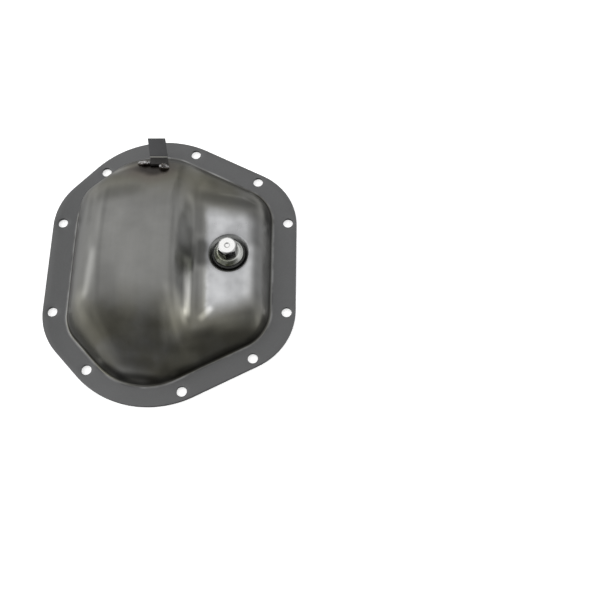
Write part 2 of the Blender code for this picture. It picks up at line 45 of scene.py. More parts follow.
# Sizes of all the pieces, the same as in the part's source
SEAT_GAP = 0.3 * MM
THREAD_CLEARANCE = 0.3 * MM
SHEET_THICKNESS = 3.0 * MM
FLANGE_END = 126.2 * MM
FLANGE_TOP = 146.2 * MM
FLANGE_TOP_X = -14.8 * MM
FLANGE_TOP_CORNER_RADIUS = 98.0 * MM
FLANGE_SIDE_CORNER_RADIUS = 65.0 * MM
PLUG_SLANT_FACING = radians(63.2)
GEAR_SLANT_FACING = radians(136.9)
END_LAND = 23.4 * MM
PLUG_SLANT_LAND = 21.4 * MM
GEAR_SLANT_LAND = 20.2 * MM
ROOT_SIDE_CORNER_RADIUS = 42.0 * MM
ROOT_TOP_CORNER_RADIUS = 66.0 * MM
BOLT_HOLE_DIAMETER = 10.0 * MM
BOLT_EDGE = 9.0 * MM
GEAR_END_BOLT_EDGE = 9.8 * MM
GEAR_SLANT_BOLT_EDGE = 11.0 * MM
END_BOLT_SPACING = 98.8 * MM
PLUG_SLANT_BOLT_SHIFT = 31.9 * MM
TOP_BOLT_FACING = radians(68.6)
GEAR_SLANT_BOLT_FACING = radians(135.0)
ROOT_FILLET_RADIUS = 3.0 * MM
WALL_SPREAD = 0.66
WALL_POWER = 2.6
BULGE_HEIGHT = 72.0 * MM
PLATEAU_HEIGHT = 37.0 * MM
PLATEAU_LENGTH = 70.8 * MM
STEP_WIDTH = 27.0 * MM
PLATEAU_ROUND_DEPTH = 49.0 * MM
PLATEAU_ROUND_RADIUS = 54.0 * MM
PLUG_SETBACK = 42.0 * MM
SEAT_RECESS_DIAMETER = 40.0 * MM
SEAT_RECESS_DEPTH = 3.6 * MM
SEAT_RECESS_DRAFT = 3.2 * MM
THREAD_DIAMETER = 20.0 * MM
SHANK_LENGTH = 13.0 * MM
HEX_ACROSS_FLATS = 17.0 * MM
HEX_HEIGHT = 12.8 * MM
HEX_TURN = radians(22.0)
HEX_CHAMFER = 0.6 * MM
HEX_CHAMFER_ANGLE = radians(30.0)
DIMPLE_DIAMETER = 6.0 * MM
DIMPLE_DEPTH = 0.7 * MM
PLUG_FLANGE_DIAMETER = 28.6 * MM
PLUG_FLANGE_RIM = 1.4 * MM
PLUG_FLANGE_RISE = 4.0 * MM
PLUG_FLANGE_LEDGE = 1.2 * MM
SEAL_DIAMETER = 32.5 * MM
SEAL_THICKNESS = 1.2 * MM
BOSS_DIAMETER = 33.0 * MM
BOSS_HEIGHT = 9.0 * MM
STRAP_WIDTH = 18.2 * MM
STRAP_THICKNESS = 2.4 * MM
STRAP_SHIFT = 3.3 * MM
STRAP_TURN = radians(10.0)
FOOT_SETBACK = 24.8 * MM
FOOT_LENGTH = 19.0 * MM
ARM_LENGTH = 22.5 * MM
STRAP_BEND_RADIUS = 3.5 * MM

# Fine detail
EDGE_ROUND = 0.35 * MM
EDGE_STEPS = 3
CORNER_STEP = radians(2.5)
SIDE_SPACING = 3.0 * MM
SMALLEST_CORNER = 2.0 * MM
FILLET_STEPS = 6
WALL_LOOPS = 12
WALL_LOOPS_END = 17.0 * MM
WALL_CROWDING = 1.25
LATTICE_X = 1.3 * MM
LATTICE_Y = 2.0 * MM
LATTICE_CLEAR = LATTICE_X * 0.6
SEAT_RINGS = [r * MM for r in (10.6, 13.5, 15.6, 16.2, 16.8, 17.4, 18, 18.6, 19.2, 19.8, 20.4, 21, 22.4)]
SEAT_STEPS = 96
SEAT_ROUND = 0.9 * MM
FLANGE_LOOPS = [3.0 * MM, 7.0 * MM, 11.5 * MM, 16.0 * MM]
FLANGE_CLEAR = 2.5 * MM
LAND_RIM = 0.6 * MM
HOLE_STEPS = 48
SAME_POINT = 1e-8
TURN_STEPS = 96
PLUG_STEPS = 144
THREAD_PITCH = 1.5 * MM
THREAD_DEPTH = 0.85 * MM
THREAD_STEPS = 10
CONE_POINTS = 36
CONE_RING_DEPTH = 0.08 * MM
HEX_CORNER_ROUND = 0.4 * MM
DIMPLE_STEPS = 8
STRAP_BEND_STEPS = 14
BEAD_COLUMNS = 56
BEAD_ROWS = 28


def facing_vector(angle):
    return Vector((cos(angle), sin(angle)))


def flange_sides():
    """The straight sides, anticlockwise from the plug end, as (facing, distance)."""
    corner = Vector((FLANGE_TOP_X, FLANGE_TOP - FLANGE_TOP_CORNER_RADIUS))
    plug_slant = facing_vector(PLUG_SLANT_FACING).dot(corner) + FLANGE_TOP_CORNER_RADIUS
    gear_slant = facing_vector(GEAR_SLANT_FACING).dot(corner) + FLANGE_TOP_CORNER_RADIUS
    return [
        (0.0, FLANGE_END),
        (PLUG_SLANT_FACING, plug_slant),
        (GEAR_SLANT_FACING, gear_slant),
        (pi, FLANGE_END),
        (-GEAR_SLANT_FACING, gear_slant),
        (-PLUG_SLANT_FACING, plug_slant),
    ]


def root_sides(inset=0.0):
    lands = [END_LAND, PLUG_SLANT_LAND, GEAR_SLANT_LAND, END_LAND, GEAR_SLANT_LAND, PLUG_SLANT_LAND]
    sides = zip(flange_sides(), lands)
    return [(facing, distance - land - inset) for (facing, distance), land in sides]


def meeting_point(side_a, side_b):
    a, b = facing_vector(side_a[0]), facing_vector(side_b[0])
    cross = a.x * b.y - a.y * b.x
    x = (side_a[1] * b.y - side_b[1] * a.y) / cross
    y = (a.x * side_b[1] - b.x * side_a[1]) / cross
    return Vector((x, y))


def corner_centre(side_a, side_b, radius):
    return meeting_point((side_a[0], side_a[1] - radius), (side_b[0], side_b[1] - radius))


def corner_radii(side, top):
    return [side, top, side, side, top, side]


ROOT = root_sides()
ROOT_RADII = corner_radii(ROOT_SIDE_CORNER_RADIUS, ROOT_TOP_CORNER_RADIUS)


def pairs_of(items):
    """Each item with the one after it, all the way round."""
    return list(zip(items, items[1:] + items[:1]))


def turn_between(side_a, side_b):
    return (side_b[0] - side_a[0]) % tau


def loop_steps():
    """How many steps each corner arc and each straight side of every loop gets."""
    corner_steps = []
    starts = []
    ends = []
    for (side_a, side_b), radius in zip(pairs_of(ROOT), ROOT_RADII):
        corner_steps.append(max(2, round(turn_between(side_a, side_b) / CORNER_STEP)))
        centre = corner_centre(side_a, side_b, radius)
        starts.append(centre + radius * facing_vector(side_a[0]))
        ends.append(centre + radius * facing_vector(side_b[0]))
    side_steps = []
    for end, start in zip(ends, starts[1:] + starts[:1]):
        side_steps.append(max(3, round((start - end).length / SIDE_SPACING)))
    return corner_steps, side_steps


CORNER_STEPS, SIDE_STEPS = loop_steps()


def rounded_loop(sides, radii):
    """Points along the sides and round their corners, as many for every inset."""
    arcs = []
    for (side_a, side_b), radius, steps in zip(pairs_of(sides), radii, CORNER_STEPS):
        centre = corner_centre(side_a, side_b, radius)
        turn = turn_between(side_a, side_b)
        angles = [side_a[0] + turn * k / steps for k in range(steps + 1)]
        arcs.append([centre + radius * facing_vector(angle) for angle in angles])
    loop = []
    for (arc, following), steps in zip(pairs_of(arcs), SIDE_STEPS):
        loop.extend(arc)
        loop.extend(arc[-1].lerp(following[0], k / steps) for k in range(1, steps))
    return loop


def inset_loop(inset):
    side = max(ROOT_SIDE_CORNER_RADIUS - inset, SMALLEST_CORNER)
    top = max(ROOT_TOP_CORNER_RADIUS - inset, SMALLEST_CORNER)
    return rounded_loop(root_sides(inset), corner_radii(side, top))


def flange_loop(inset):
    sides = [(facing, distance - inset) for facing, distance in flange_sides()]
    radii = corner_radii(FLANGE_SIDE_CORNER_RADIUS - inset, FLANGE_TOP_CORNER_RADIUS - inset)
    return rounded_loop(sides, radii)


def root_corners():
    """The root's corners, as (centre, radius, facing of the side before, of the side after)."""
    corners = []
    for (side_a, side_b), radius in zip(pairs_of(ROOT), ROOT_RADII):
        centre = corner_centre(side_a, side_b, radius)
        corners.append((centre, radius, facing_vector(side_a[0]), facing_vector(side_b[0])))
    return corners


ROOT_CORNERS = root_corners()
ROOT_FACINGS = [(facing_vector(facing), distance) for facing, distance in ROOT]
ROOT_TOP = Vector((ROOT_CORNERS[1][0].x, ROOT_CORNERS[1][0].y + ROOT_TOP_CORNER_RADIUS))
CLIMB = BULGE_HEIGHT - SHEET_THICKNESS
BULGE_RADIUS = (ROOT_TOP.y**2 + CLIMB**2) / (2.0 * CLIMB)
STEP_END = ROOT[0][1] - PLATEAU_LENGTH
PLUG_X = ROOT[0][1] - PLUG_SETBACK
PLUG_AXIS = Vector((PLUG_X, 0.0))
WALL_ANGLE = atan(WALL_POWER / WALL_SPREAD)
FILLET_TANGENT = ROOT_FILLET_RADIUS * tan(WALL_ANGLE / 2.0)


def inset_of(x, y):
    """Distance inside the root's rounded outline."""
    p = Vector((x, y))
    for centre, radius, face_a, face_b in ROOT_CORNERS:
        from_centre = p - centre
        after_a = face_a.x * from_centre.y - face_a.y * from_centre.x
        before_b = from_centre.x * face_b.y - from_centre.y * face_b.x
        if after_a >= 0.0 and before_b >= 0.0 and from_centre.dot(face_a) >= 0.0:
            return radius - from_centre.length
    return min(distance - facing.dot(p) for facing, distance in ROOT_FACINGS)


def share_of(value):
    return min(max(value, 0.0), 1.0)


def smooth_step(value):
    value = share_of(value)
    return value * value * value * (value * (6.0 * value - 15.0) + 10.0)


def bulge_height(y):
    return BULGE_HEIGHT - (BULGE_RADIUS - sqrt(max(BULGE_RADIUS**2 - y * y, 0.0)))


def plateau_height(x, y):
    facing, distance = ROOT_FACINGS[1]
    inset = distance - facing.dot(Vector((x, abs(y))))
    across = min(max(PLATEAU_ROUND_DEPTH - inset, 0.0), PLATEAU_ROUND_RADIUS)
    return PLATEAU_HEIGHT - (PLATEAU_ROUND_RADIUS - sqrt(PLATEAU_ROUND_RADIUS**2 - across**2))


def crown_height(x, y):
    high = bulge_height(y)
    low = min(plateau_height(x, y), high)
    return high + (low - high) * smooth_step(1.0 + (x - STEP_END) / STEP_WIDTH)


def seat_drop(r):
    """How far the seat is dished at a distance from the plug's axis."""
    mouth = SEAT_RECESS_DIAMETER / 2.0 + SEAT_ROUND
    floor = SEAT_RECESS_DIAMETER / 2.0 - SEAT_RECESS_DRAFT - SEAT_ROUND
    t = share_of((mouth - r) / (mouth - floor))
    return SEAT_RECESS_DEPTH * t * t * (3.0 - 2.0 * t)


def from_plug(p):
    return hypot(p.x - PLUG_X, p.y)


def dome_height(x, y, inset):
    climb = max(crown_height(x, y) - SHEET_THICKNESS, 0.0)
    reach = max(climb * WALL_SPREAD, ROOT_FILLET_RADIUS)
    left = 1.0 - share_of((inset - FILLET_TANGENT) / reach)
    return SHEET_THICKNESS + climb * (1.0 - left**WALL_POWER)


def new_object(name, mesh, material):
    mesh.name = name
    mesh.materials.append(material)
    obj = bpy.data.objects.new(name, mesh)
    bpy.context.scene.collection.objects.link(obj)
    return obj


def add_piece(name, mesh, material, node, sharp=radians(40.0)):
    """Show a mesh as a piece: shade, ride and replace the CAD node."""
    obj = new_object(name, mesh, material)
    mesh.shade_smooth()
    mesh.set_sharp_from_angle(angle=sharp)
    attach(obj, "root")
    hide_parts(node)
    return obj


class Skin:
    """Vertices and faces of a mesh in the making."""

    def __init__(self):
        self.points = []
        self.faces = []

    def ring(self, points):
        start = len(self.points)
        self.points.extend(points)
        return list(range(start, start + len(points)))

    def bridge(self, a, b):
        count = len(a)
        for i in range(count):
            j = (i + 1) % count
            self.faces.append((a[i], a[j], b[j], b[i]))

    def grow(self, ring, points):
        """Join a ring to a new one through the points, and give the new one."""
        following = self.ring(points)
        self.bridge(ring, following)
        return following

    def cap(self, ring):
        self.faces.append(tuple(ring))

    def mesh(self):
        mesh = bpy.data.meshes.new("skin")
        mesh.from_pydata([tuple(p) for p in self.points], [], self.faces)
        mesh.validate()
        maker = bmesh.new()
        maker.from_mesh(mesh)
        bmesh.ops.recalc_face_normals(maker, faces=maker.faces)
        maker.to_mesh(mesh)
        maker.free()
        return mesh


def circle(centre, radius, steps, height=0.0):
    points = []
    for k in range(steps):
        angle = tau * k / steps
        x = centre.x + radius * cos(angle)
        y = centre.y + radius * sin(angle)
        points.append(Vector((x, y, height)))
    return points


def side_point(side, edge, along):
    normal = facing_vector(side[0])
    return normal * (side[1] - edge) + Vector((-normal.y, normal.x)) * along


def bolt_hole_centres():
    sides = flange_sides()
    corner = corner_centre(sides[1], sides[2], FLANGE_TOP_CORNER_RADIUS)
    upper = [
        side_point(sides[0], BOLT_EDGE, END_BOLT_SPACING / 2.0),
        side_point(sides[1], BOLT_EDGE, -PLUG_SLANT_BOLT_SHIFT),
        corner + facing_vector(TOP_BOLT_FACING) * (FLANGE_TOP_CORNER_RADIUS - BOLT_EDGE),
        corner + facing_vector(GEAR_SLANT_BOLT_FACING) * (FLANGE_TOP_CORNER_RADIUS - GEAR_SLANT_BOLT_EDGE),
        side_point(sides[3], GEAR_END_BOLT_EDGE, -END_BOLT_SPACING / 2.0),
    ]
    return upper + [Vector((p.x, -p.y)) for p in upper]


def triangulate(borders, holes, loose):
    """The points in the order given, and triangles over them between a border and its holes."""
    points = []
    edges = []
    members = []
    for ring in borders + holes:
        start = len(points)
        points.extend(Vector((p[0], p[1])) for p in ring)
        edges.extend((start + k, start + (k + 1) % len(ring)) for k in range(len(ring)))
        members.append(set(range(start, len(points))))
    points.extend(loose)
    flat, _, triangles, _, _, _ = delaunay_2d_cdt(points, edges, [], 1, SAME_POINT)
    empty = members[1:]
    kept = [t for t in triangles if not any(ring.issuperset(t) for ring in empty)]
    return flat, kept


HOLE_CENTRES = bolt_hole_centres()
HOLE_RADIUS = BOLT_HOLE_DIAMETER / 2.0
FLANGE_FACINGS = [(facing_vector(facing), distance) for facing, distance in flange_sides()]


def flange_inset(p):
    return min(distance - facing.dot(p) for facing, distance in FLANGE_FACINGS)


def clear_of_holes(p, clear):
    return all((p - c).length > HOLE_RADIUS + clear for c in HOLE_CENTRES)


def add_flange(skin):
    """Flat flange between its outline, the bolt holes and the land's inner loop."""
    outline = flange_loop(EDGE_ROUND)
    land = inset_loop(-LAND_RIM)
    holes = [circle(c, HOLE_RADIUS + EDGE_ROUND, HOLE_STEPS) for c in HOLE_CENTRES]
    loose = []
    for inset in FLANGE_LOOPS:
        for p in inset_loop(-inset)[::2]:
            if clear_of_holes(p, FLANGE_CLEAR) and flange_inset(p) > FLANGE_CLEAR:
                loose.append(p)
    flat, triangles = triangulate([outline, land], holes, loose)
    index = skin.ring([Vector((p.x, p.y, SHEET_THICKNESS)) for p in flat])
    skin.faces.extend(tuple(index[i] for i in triangle) for triangle in triangles)
    rings = []
    start = 0
    for ring in [outline, land] + holes:
        rings.append(index[start : start + len(ring)])
        start += len(ring)
    return rings[0], rings[1], rings[2:]


def add_fillet_and_wall(skin, ring):
    """Root fillet and the wall above it, as nested loops."""
    for k in range(FILLET_STEPS + 1):
        angle = WALL_ANGLE * k / FILLET_STEPS
        height = SHEET_THICKNESS + ROOT_FILLET_RADIUS * (1.0 - cos(angle))
        points = []
        for p in inset_loop(ROOT_FILLET_RADIUS * sin(angle)):
            top = max(crown_height(p.x, p.y), SHEET_THICKNESS)
            points.append(Vector((p.x, p.y, min(height, top))))
        ring = skin.grow(ring, points)
    start = ROOT_FILLET_RADIUS * sin(WALL_ANGLE)
    for k in range(1, WALL_LOOPS + 1):
        inset = start + (WALL_LOOPS_END - start) * (k / WALL_LOOPS) ** WALL_CROWDING
        loop = inset_loop(inset)
        ring = skin.grow(ring, [Vector((p.x, p.y, dome_height(p.x, p.y, inset))) for p in loop])
    return ring


def crown_lattice():
    """Points over the crown, denser under the plug, clear of the wall's last loop."""
    clear = WALL_LOOPS_END + LATTICE_CLEAR
    points = []
    for radius in SEAT_RINGS[1:]:
        ring = circle(PLUG_AXIS, radius, SEAT_STEPS)
        points.extend(p.xy for p in ring if inset_of(p.x, p.y) > clear)
    columns = int((ROOT[0][1] + ROOT[3][1]) / LATTICE_X)
    rows = int(2.0 * ROOT_TOP.y / LATTICE_Y)
    for i in range(columns):
        x = -ROOT[3][1] + i * LATTICE_X
        for j in range(rows):
            p = Vector((x, -ROOT_TOP.y + (j + 0.5 * (i % 2)) * LATTICE_Y))
            if (p - PLUG_AXIS).length > SEAT_RINGS[-1] + LATTICE_CLEAR and inset_of(p.x, p.y) > clear:
                points.append(p)
    return points


def add_crown(skin, ring):
    """Everything inside the wall's last loop, pierced for the plug."""
    border = [skin.points[i].xy for i in ring]
    hole = circle(PLUG_AXIS, SEAT_RINGS[0], SEAT_STEPS)
    flat, triangles = triangulate([border], [hole], crown_lattice())
    count = len(ring)
    tops = [Vector((p.x, p.y, dome_height(p.x, p.y, inset_of(p.x, p.y)))) for p in flat[count:]]
    index = ring + skin.ring(tops)
    skin.faces.extend(tuple(index[i] for i in triangle) for triangle in triangles)
    return index[count : count + SEAT_STEPS]


def round_edge(skin, top, bottom, loop_at):
    """Join the two skins round a border. loop_at gives the border pushed out by a distance."""
    profile = []
    for k in range(1, EDGE_STEPS + 1):
        angle = pi / 2.0 * k / EDGE_STEPS
        fall = EDGE_ROUND * (1.0 - cos(angle))
        profile.append((EDGE_ROUND * sin(angle), SHEET_THICKNESS - fall))
    for out, height in list(reversed(profile)):
        profile.append((out, SHEET_THICKNESS - height))
    ring = top
    for out, height in profile:
        ring = skin.grow(ring, [Vector((p[0], p[1], height)) for p in loop_at(out)])
    skin.bridge(ring, bottom)


def make_shell(material):
    """The whole pressing: outer skin, inner skin and rounded edges between them."""
    skin = Skin()
    outline, land, holes = add_flange(skin)
    fill = add_crown(skin, add_fillet_and_wall(skin, land))
    outer = skin.mesh()
    sign = 1.0 if sum(f.normal.z * f.area for f in outer.polygons) > 0.0 else -1.0
    normals = [v.vector * sign for v in outer.vertex_normals]
    bpy.data.meshes.remove(outer)
    count = len(skin.points)
    under = [p - n * SHEET_THICKNESS for p, n in zip(skin.points, normals)]
    step_out = SHEET_THICKNESS * tan(atan2(SEAT_RECESS_DEPTH, SEAT_RECESS_DRAFT) / 2.0)
    for p, q in zip(skin.points, under):
        p.z -= seat_drop(from_plug(p))
        q.z -= seat_drop(from_plug(q) - step_out)
    skin.points.extend(under)
    skin.faces.extend([tuple(i + count for i in reversed(face)) for face in skin.faces])
    round_edge(skin, outline, [i + count for i in outline], lambda out: flange_loop(EDGE_ROUND - out))
    for centre, ring in zip(HOLE_CENTRES, holes):
        reach = HOLE_RADIUS + EDGE_ROUND
        bottom = [i + count for i in ring]
        round_edge(skin, ring, bottom, lambda out, c=centre, r=reach: circle(c, r - out, HOLE_STEPS))
    skin.bridge(fill, [i + count for i in fill])
    return add_piece("shell_skin", skin.mesh(), material, "cover_shell")


def turned(profile, steps=TURN_STEPS, start=0.0):
    """Rings of a profile of (radius, height) round the plug's axis, which may vary with the angle."""
    rings = []
    for radius, height in profile:
        ring = []
        for k in range(steps):
            angle = tau * k / steps
            r = radius(angle) if callable(radius) else radius
            z = height(angle) if callable(height) else height
            ring.append(Vector((PLUG_X + r * cos(angle + start), r * sin(angle + start), z)))
        rings.append(ring)
    return rings


def solid_of(rings, closed_profile=False):
    """A closed mesh through rings of equal count: capped at both ends, or joined last to first."""
    skin = Skin()
    made = [skin.ring(ring) for ring in rings]
    for a, b in zip(made, made[1:]):
        skin.bridge(a, b)
    if closed_profile:
        skin.bridge(made[-1], made[0])
    else:
        skin.cap(made[0])
        skin.cap(made[-1])
    return skin.mesh()


def rounded(profile, radius, steps=3, closed=False):
    """A profile with its corners rounded off."""
    most = 0.45  # share of a side that a corner may take
    count = len(profile)
    made = []
    for i, corner in enumerate(profile):
        p = Vector(corner)
        if not closed and i in (0, count - 1):
            made.append((p.x, p.y))
            continue
        before, after = Vector(profile[i - 1]) - p, Vector(profile[(i + 1) % count]) - p
        turn = before.angle(after)
        reach = min(radius / tan(turn / 2.0), before.length * most, after.length * most)
        start, end = p + before.normalized() * reach, p + after.normalized() * reach
        for k in range(steps + 1):
            t = k / steps
            q = start * (1 - t) ** 2 + p * (2 * t * (1 - t)) + end * t**2
            made.append((q.x, q.y))
    return made


SEAL_BOTTOM = PLATEAU_HEIGHT - SEAT_RECESS_DEPTH + SEAT_GAP
PLUG_SEAT = SEAL_BOTTOM + SEAL_THICKNESS + SEAT_GAP
PLUG_TIP = PLUG_SEAT - SHANK_LENGTH
PLUG_RIM = PLUG_SEAT + PLUG_FLANGE_RIM
PLUG_HEAD_BASE = PLUG_RIM + PLUG_FLANGE_RISE
PLUG_HEAD_TOP = PLUG_HEAD_BASE + HEX_HEIGHT
HEX_CORNER = HEX_ACROSS_FLATS / sqrt(3.0)
HEX_FACE = HEX_ACROSS_FLATS / 2.0 - HEX_CHAMFER
BORE_RADIUS = THREAD_DIAMETER / 2.0 + THREAD_CLEARANCE
BOSS_TOP = PLATEAU_HEIGHT - SEAT_RECESS_DEPTH - SHEET_THICKNESS - SEAT_GAP


def threaded(base, low, high):
    """Profile of a helical thread between two heights, upwards, faded out at both ends."""
    def radius_at(z):
        fade = share_of((z - low) / THREAD_PITCH) * share_of((high - z) / THREAD_PITCH)

        def at(angle):
            turn = (z / THREAD_PITCH - angle / tau) % 1.0
            return base + THREAD_DEPTH * share_of(abs(turn - 0.5) * 3.0 - 0.25) * fade

        return at

    steps = int((high - low) / THREAD_PITCH * THREAD_STEPS)
    heights = [low + (high - low) * k / steps for k in range(steps + 1)]
    return [(radius_at(z), z) for z in heights]


def hex_radius(angle):
    """Distance from the head's axis to its edge, with softly rounded corners."""
    flat = HEX_ACROSS_FLATS / 2.0
    centre = (flat - HEX_CORNER_ROUND) / cos(pi / 6.0)
    from_corner = (angle + pi / 6.0) % (pi / 3.0) - pi / 6.0
    beside = centre * sin(from_corner)
    if abs(beside) < HEX_CORNER_ROUND:
        radius = centre * cos(from_corner) + sqrt(HEX_CORNER_ROUND**2 - beside**2)
        if abs(radius * sin(from_corner)) <= HEX_CORNER_ROUND * 0.5:
            return radius
    return flat / cos(abs(from_corner) - pi / 6.0)


def shank_and_cone():
    """Profile of the threaded shank and of the coned flange with its turned rings, upwards."""
    shank = THREAD_DIAMETER / 2.0
    core = shank - THREAD_DEPTH
    flange = PLUG_FLANGE_DIAMETER / 2.0
    ledge = HEX_CORNER + PLUG_FLANGE_LEDGE
    profile = [(0.4 * MM, PLUG_TIP), (core - 0.5 * MM, PLUG_TIP), (core, PLUG_TIP + 0.5 * MM)]
    profile += threaded(core, PLUG_TIP + 0.6 * MM, PLUG_SEAT - 1.5 * MM)
    profile += [(core, PLUG_SEAT - 0.2 * MM), (core + 0.2 * MM, PLUG_SEAT)]
    washer = [(shank, PLUG_SEAT), (flange, PLUG_SEAT), (flange, PLUG_RIM), (ledge, PLUG_HEAD_BASE)]
    profile += rounded(washer, 0.35 * MM)[1:-1]
    start, end = Vector((flange, PLUG_RIM)), Vector((ledge, PLUG_HEAD_BASE))
    for k in range(4, CONE_POINTS):
        p = start.lerp(end, k / CONE_POINTS)
        turn = pi * (k - 3) / 3.0
        profile.append((p.x, p.y - CONE_RING_DEPTH * (1.0 - cos(turn))))
    profile.append((HEX_CORNER + 0.5 * MM, PLUG_HEAD_BASE))
    return profile


def chamfer_radius(angle, share):
    """Distance from the axis on the head's chamfer, a share of the way in."""
    return HEX_FACE + (hex_radius(angle) - HEX_FACE) * (1.0 - share)


def chamfer_height(angle, share, sink):
    drop = (chamfer_radius(angle, share) - HEX_FACE) * tan(HEX_CHAMFER_ANGLE)
    return PLUG_HEAD_TOP - drop - sink


def head_sides():
    """Profile of the hexagon and its chamfer, which varies with the angle, upwards."""
    sides = []
    for rise, grow in [(0.02 * MM, 0.35 * MM), (0.35 * MM, 0.0)]:
        sides.append((lambda a, g=grow: hex_radius(a) + g, PLUG_HEAD_BASE + rise))
    for share, sink in [(0.0, 0.12 * MM), (0.06, 0.05 * MM), (0.94, 0.05 * MM)]:
        sides.append((
            lambda a, s=share: chamfer_radius(a, s),
            lambda a, s=share, d=sink: chamfer_height(a, s, d),
        ))
    return sides


def head_top():
    """Profile of the head's top face and of the dimple in it, inwards."""
    dimple = DIMPLE_DIAMETER / 2.0
    profile = [(HEX_FACE - 0.05 * MM, PLUG_HEAD_TOP - 0.02 * MM)]
    for radius in (HEX_FACE - 0.15 * MM, HEX_FACE - 0.6 * MM, dimple + 0.3 * MM):
        profile.append((radius, PLUG_HEAD_TOP))
    for k in range(DIMPLE_STEPS + 1):
        share = k / DIMPLE_STEPS
        profile.append((dimple * (1.0 - 0.45 * share), PLUG_HEAD_TOP - DIMPLE_DEPTH * smooth_step(share)))
    profile.append((0.3 * MM, PLUG_HEAD_TOP - DIMPLE_DEPTH))
    return profile


def make_plug(material):
    """Plug: threaded shank, coned flange with turned rings, chamfered hexagon, dimple."""
    rings = turned(shank_and_cone() + head_sides() + head_top(), PLUG_STEPS, HEX_TURN)
    sharp = radians(25.0)
    add_piece("plug_body", solid_of(rings), material, "fill_plug", sharp)


def make_seal(material):
    outer = SEAL_DIAMETER / 2.0
    high = SEAL_BOTTOM + SEAL_THICKNESS
    section = [(BORE_RADIUS, SEAL_BOTTOM), (outer, SEAL_BOTTOM), (outer, high), (BORE_RADIUS, high)]
    mesh = solid_of(turned(rounded(section, 0.55 * MM, 6, True)), True)
    add_piece("seal_ring", mesh, material, "plug_seal")


def make_boss(material):
    """Round boss under the sheet with the plug's thread cut through it."""
    outer = BOSS_DIAMETER / 2.0
    low = BOSS_TOP - BOSS_HEIGHT
    bottom = [(BORE_RADIUS + THREAD_DEPTH, low), (outer, low)]
    top = [(outer, BOSS_TOP), (BORE_RADIUS + 1.0 * MM, BOSS_TOP)]
    bore = threaded(BORE_RADIUS, low + 0.3 * MM, BOSS_TOP - 0.3 * MM)
    mesh = solid_of(turned(rounded(bottom + top, 0.8 * MM) + list(reversed(bore))), True)
    add_piece("boss_ring", mesh, material, "plug_boss")


def foot_frame():
    """Slope of the dome under the foot's middle, that middle, and the dome's normal there."""
    y = ROOT_TOP.y - FOOT_SETBACK
    slope = asin(y / BULGE_RADIUS)
    middle = Vector((ROOT_TOP.x + STRAP_SHIFT, y, bulge_height(y)))
    return slope, middle, Vector((0.0, sin(slope), cos(slope)))


FOOT_SLOPE, FOOT_MIDDLE, FOOT_NORMAL = foot_frame()
FOOT_ORIGIN = FOOT_MIDDLE + FOOT_NORMAL * SEAT_GAP
STRAP_HALF_WIDTH = STRAP_WIDTH / 2.0 / cos(STRAP_TURN)


def strap_section():
    """The strap seen from its side: (distance along it, underside point, its up direction)."""
    half_foot = FOOT_LENGTH / 2.0
    along_foot = Vector((cos(FOOT_SLOPE), -sin(FOOT_SLOPE)))
    foot_up = Vector((sin(FOOT_SLOPE), cos(FOOT_SLOPE)))
    outer_radius = STRAP_BEND_RADIUS + STRAP_THICKNESS
    bend_centre = along_foot * half_foot + foot_up * outer_radius
    section = [(-half_foot, -along_foot * half_foot, foot_up)]
    for k in range(STRAP_BEND_STEPS + 1):
        bent = FOOT_SLOPE * k / STRAP_BEND_STEPS
        angle = bent - FOOT_SLOPE
        up = Vector((-sin(angle), cos(angle)))
        section.append((half_foot + bent * outer_radius, bend_centre - up * outer_radius, up))
    distance, under, up = section[-1]
    section.append((distance + ARM_LENGTH, under + Vector((ARM_LENGTH, 0.0)), up))
    return section


def make_strap(material):
    """Sheared flat bar, bent once, with its edges broken."""
    half = STRAP_HALF_WIDTH
    rings = []
    for distance, under, up in strap_section():
        over = under + up * STRAP_THICKNESS
        shift = -distance * tan(STRAP_TURN)
        corners = [(-half, under), (half, under), (half, over), (-half, over)]
        rings.append([FOOT_ORIGIN + Vector((x + shift, p.x, p.y)) for x, p in corners])
    mesh = solid_of(rings)
    maker = bmesh.new()
    maker.from_mesh(mesh)
    hard = [e for e in maker.edges if e.calc_face_angle(0.0) > radians(50.0)]
    bmesh.ops.bevel(maker, geom=hard, offset=0.4 * MM, segments=3, profile=0.6, affect="EDGES")
    maker.to_mesh(mesh)
    maker.free()
    add_piece("hose_strap", mesh, material, "hose_bracket")


def on_dome(across, down, lift):
    """A point over the dome, in the foot's own directions."""
    x = FOOT_ORIGIN.x + across - down * tan(STRAP_TURN)
    y = FOOT_ORIGIN.y + down * cos(FOOT_SLOPE)
    floor = dome_height(x, y, inset_of(x, y)) + SEAT_GAP / cos(FOOT_SLOPE)
    return Vector((x, y, floor + lift))


def bead_mesh(length, width, height, place, crater, crater_out, seed):
    """A lumpy bead: rippled along its length, with a crater where the arc was broken."""
    rings = []
    for i in range(BEAD_COLUMNS):
        s = (2.0 * i + 1.0) / BEAD_COLUMNS - 1.0
        full = sqrt(max(1.0 - s * s, 0.0))
        along = s * length / 2.0
        ring = []
        for j in range(BEAD_ROWS + 1):
            t = 2.0 * j / BEAD_ROWS - 1.0
            lump = sqrt(max(1.0 - t * t, 0.0)) ** 0.8
            ripple = 0.05 * cos((s + 0.25 * t * t) * 16.0)
            rough = 1.0 + 0.10 * noise.noise(Vector((s * 3.0, t * 2.0, seed))) + ripple
            edge = 1.0 + 0.10 * noise.noise(Vector((s * 2.2, seed, 0.0)))
            from_pit = hypot(s * length / width, t - crater_out)
            pit = 1.0 - crater * exp(-(from_pit**2) / 0.14)
            out = (t * full * edge + 1.0) * width / 2.0
            ring.append(place(along, out, height * full * lump * rough * pit))
        for j in range(BEAD_ROWS - 1, 0, -1):
            t = 2.0 * j / BEAD_ROWS - 1.0
            ring.append(place(along, (t * full + 1.0) * width / 2.0, 0.0))
        rings.append(ring)
    return solid_of(rings)


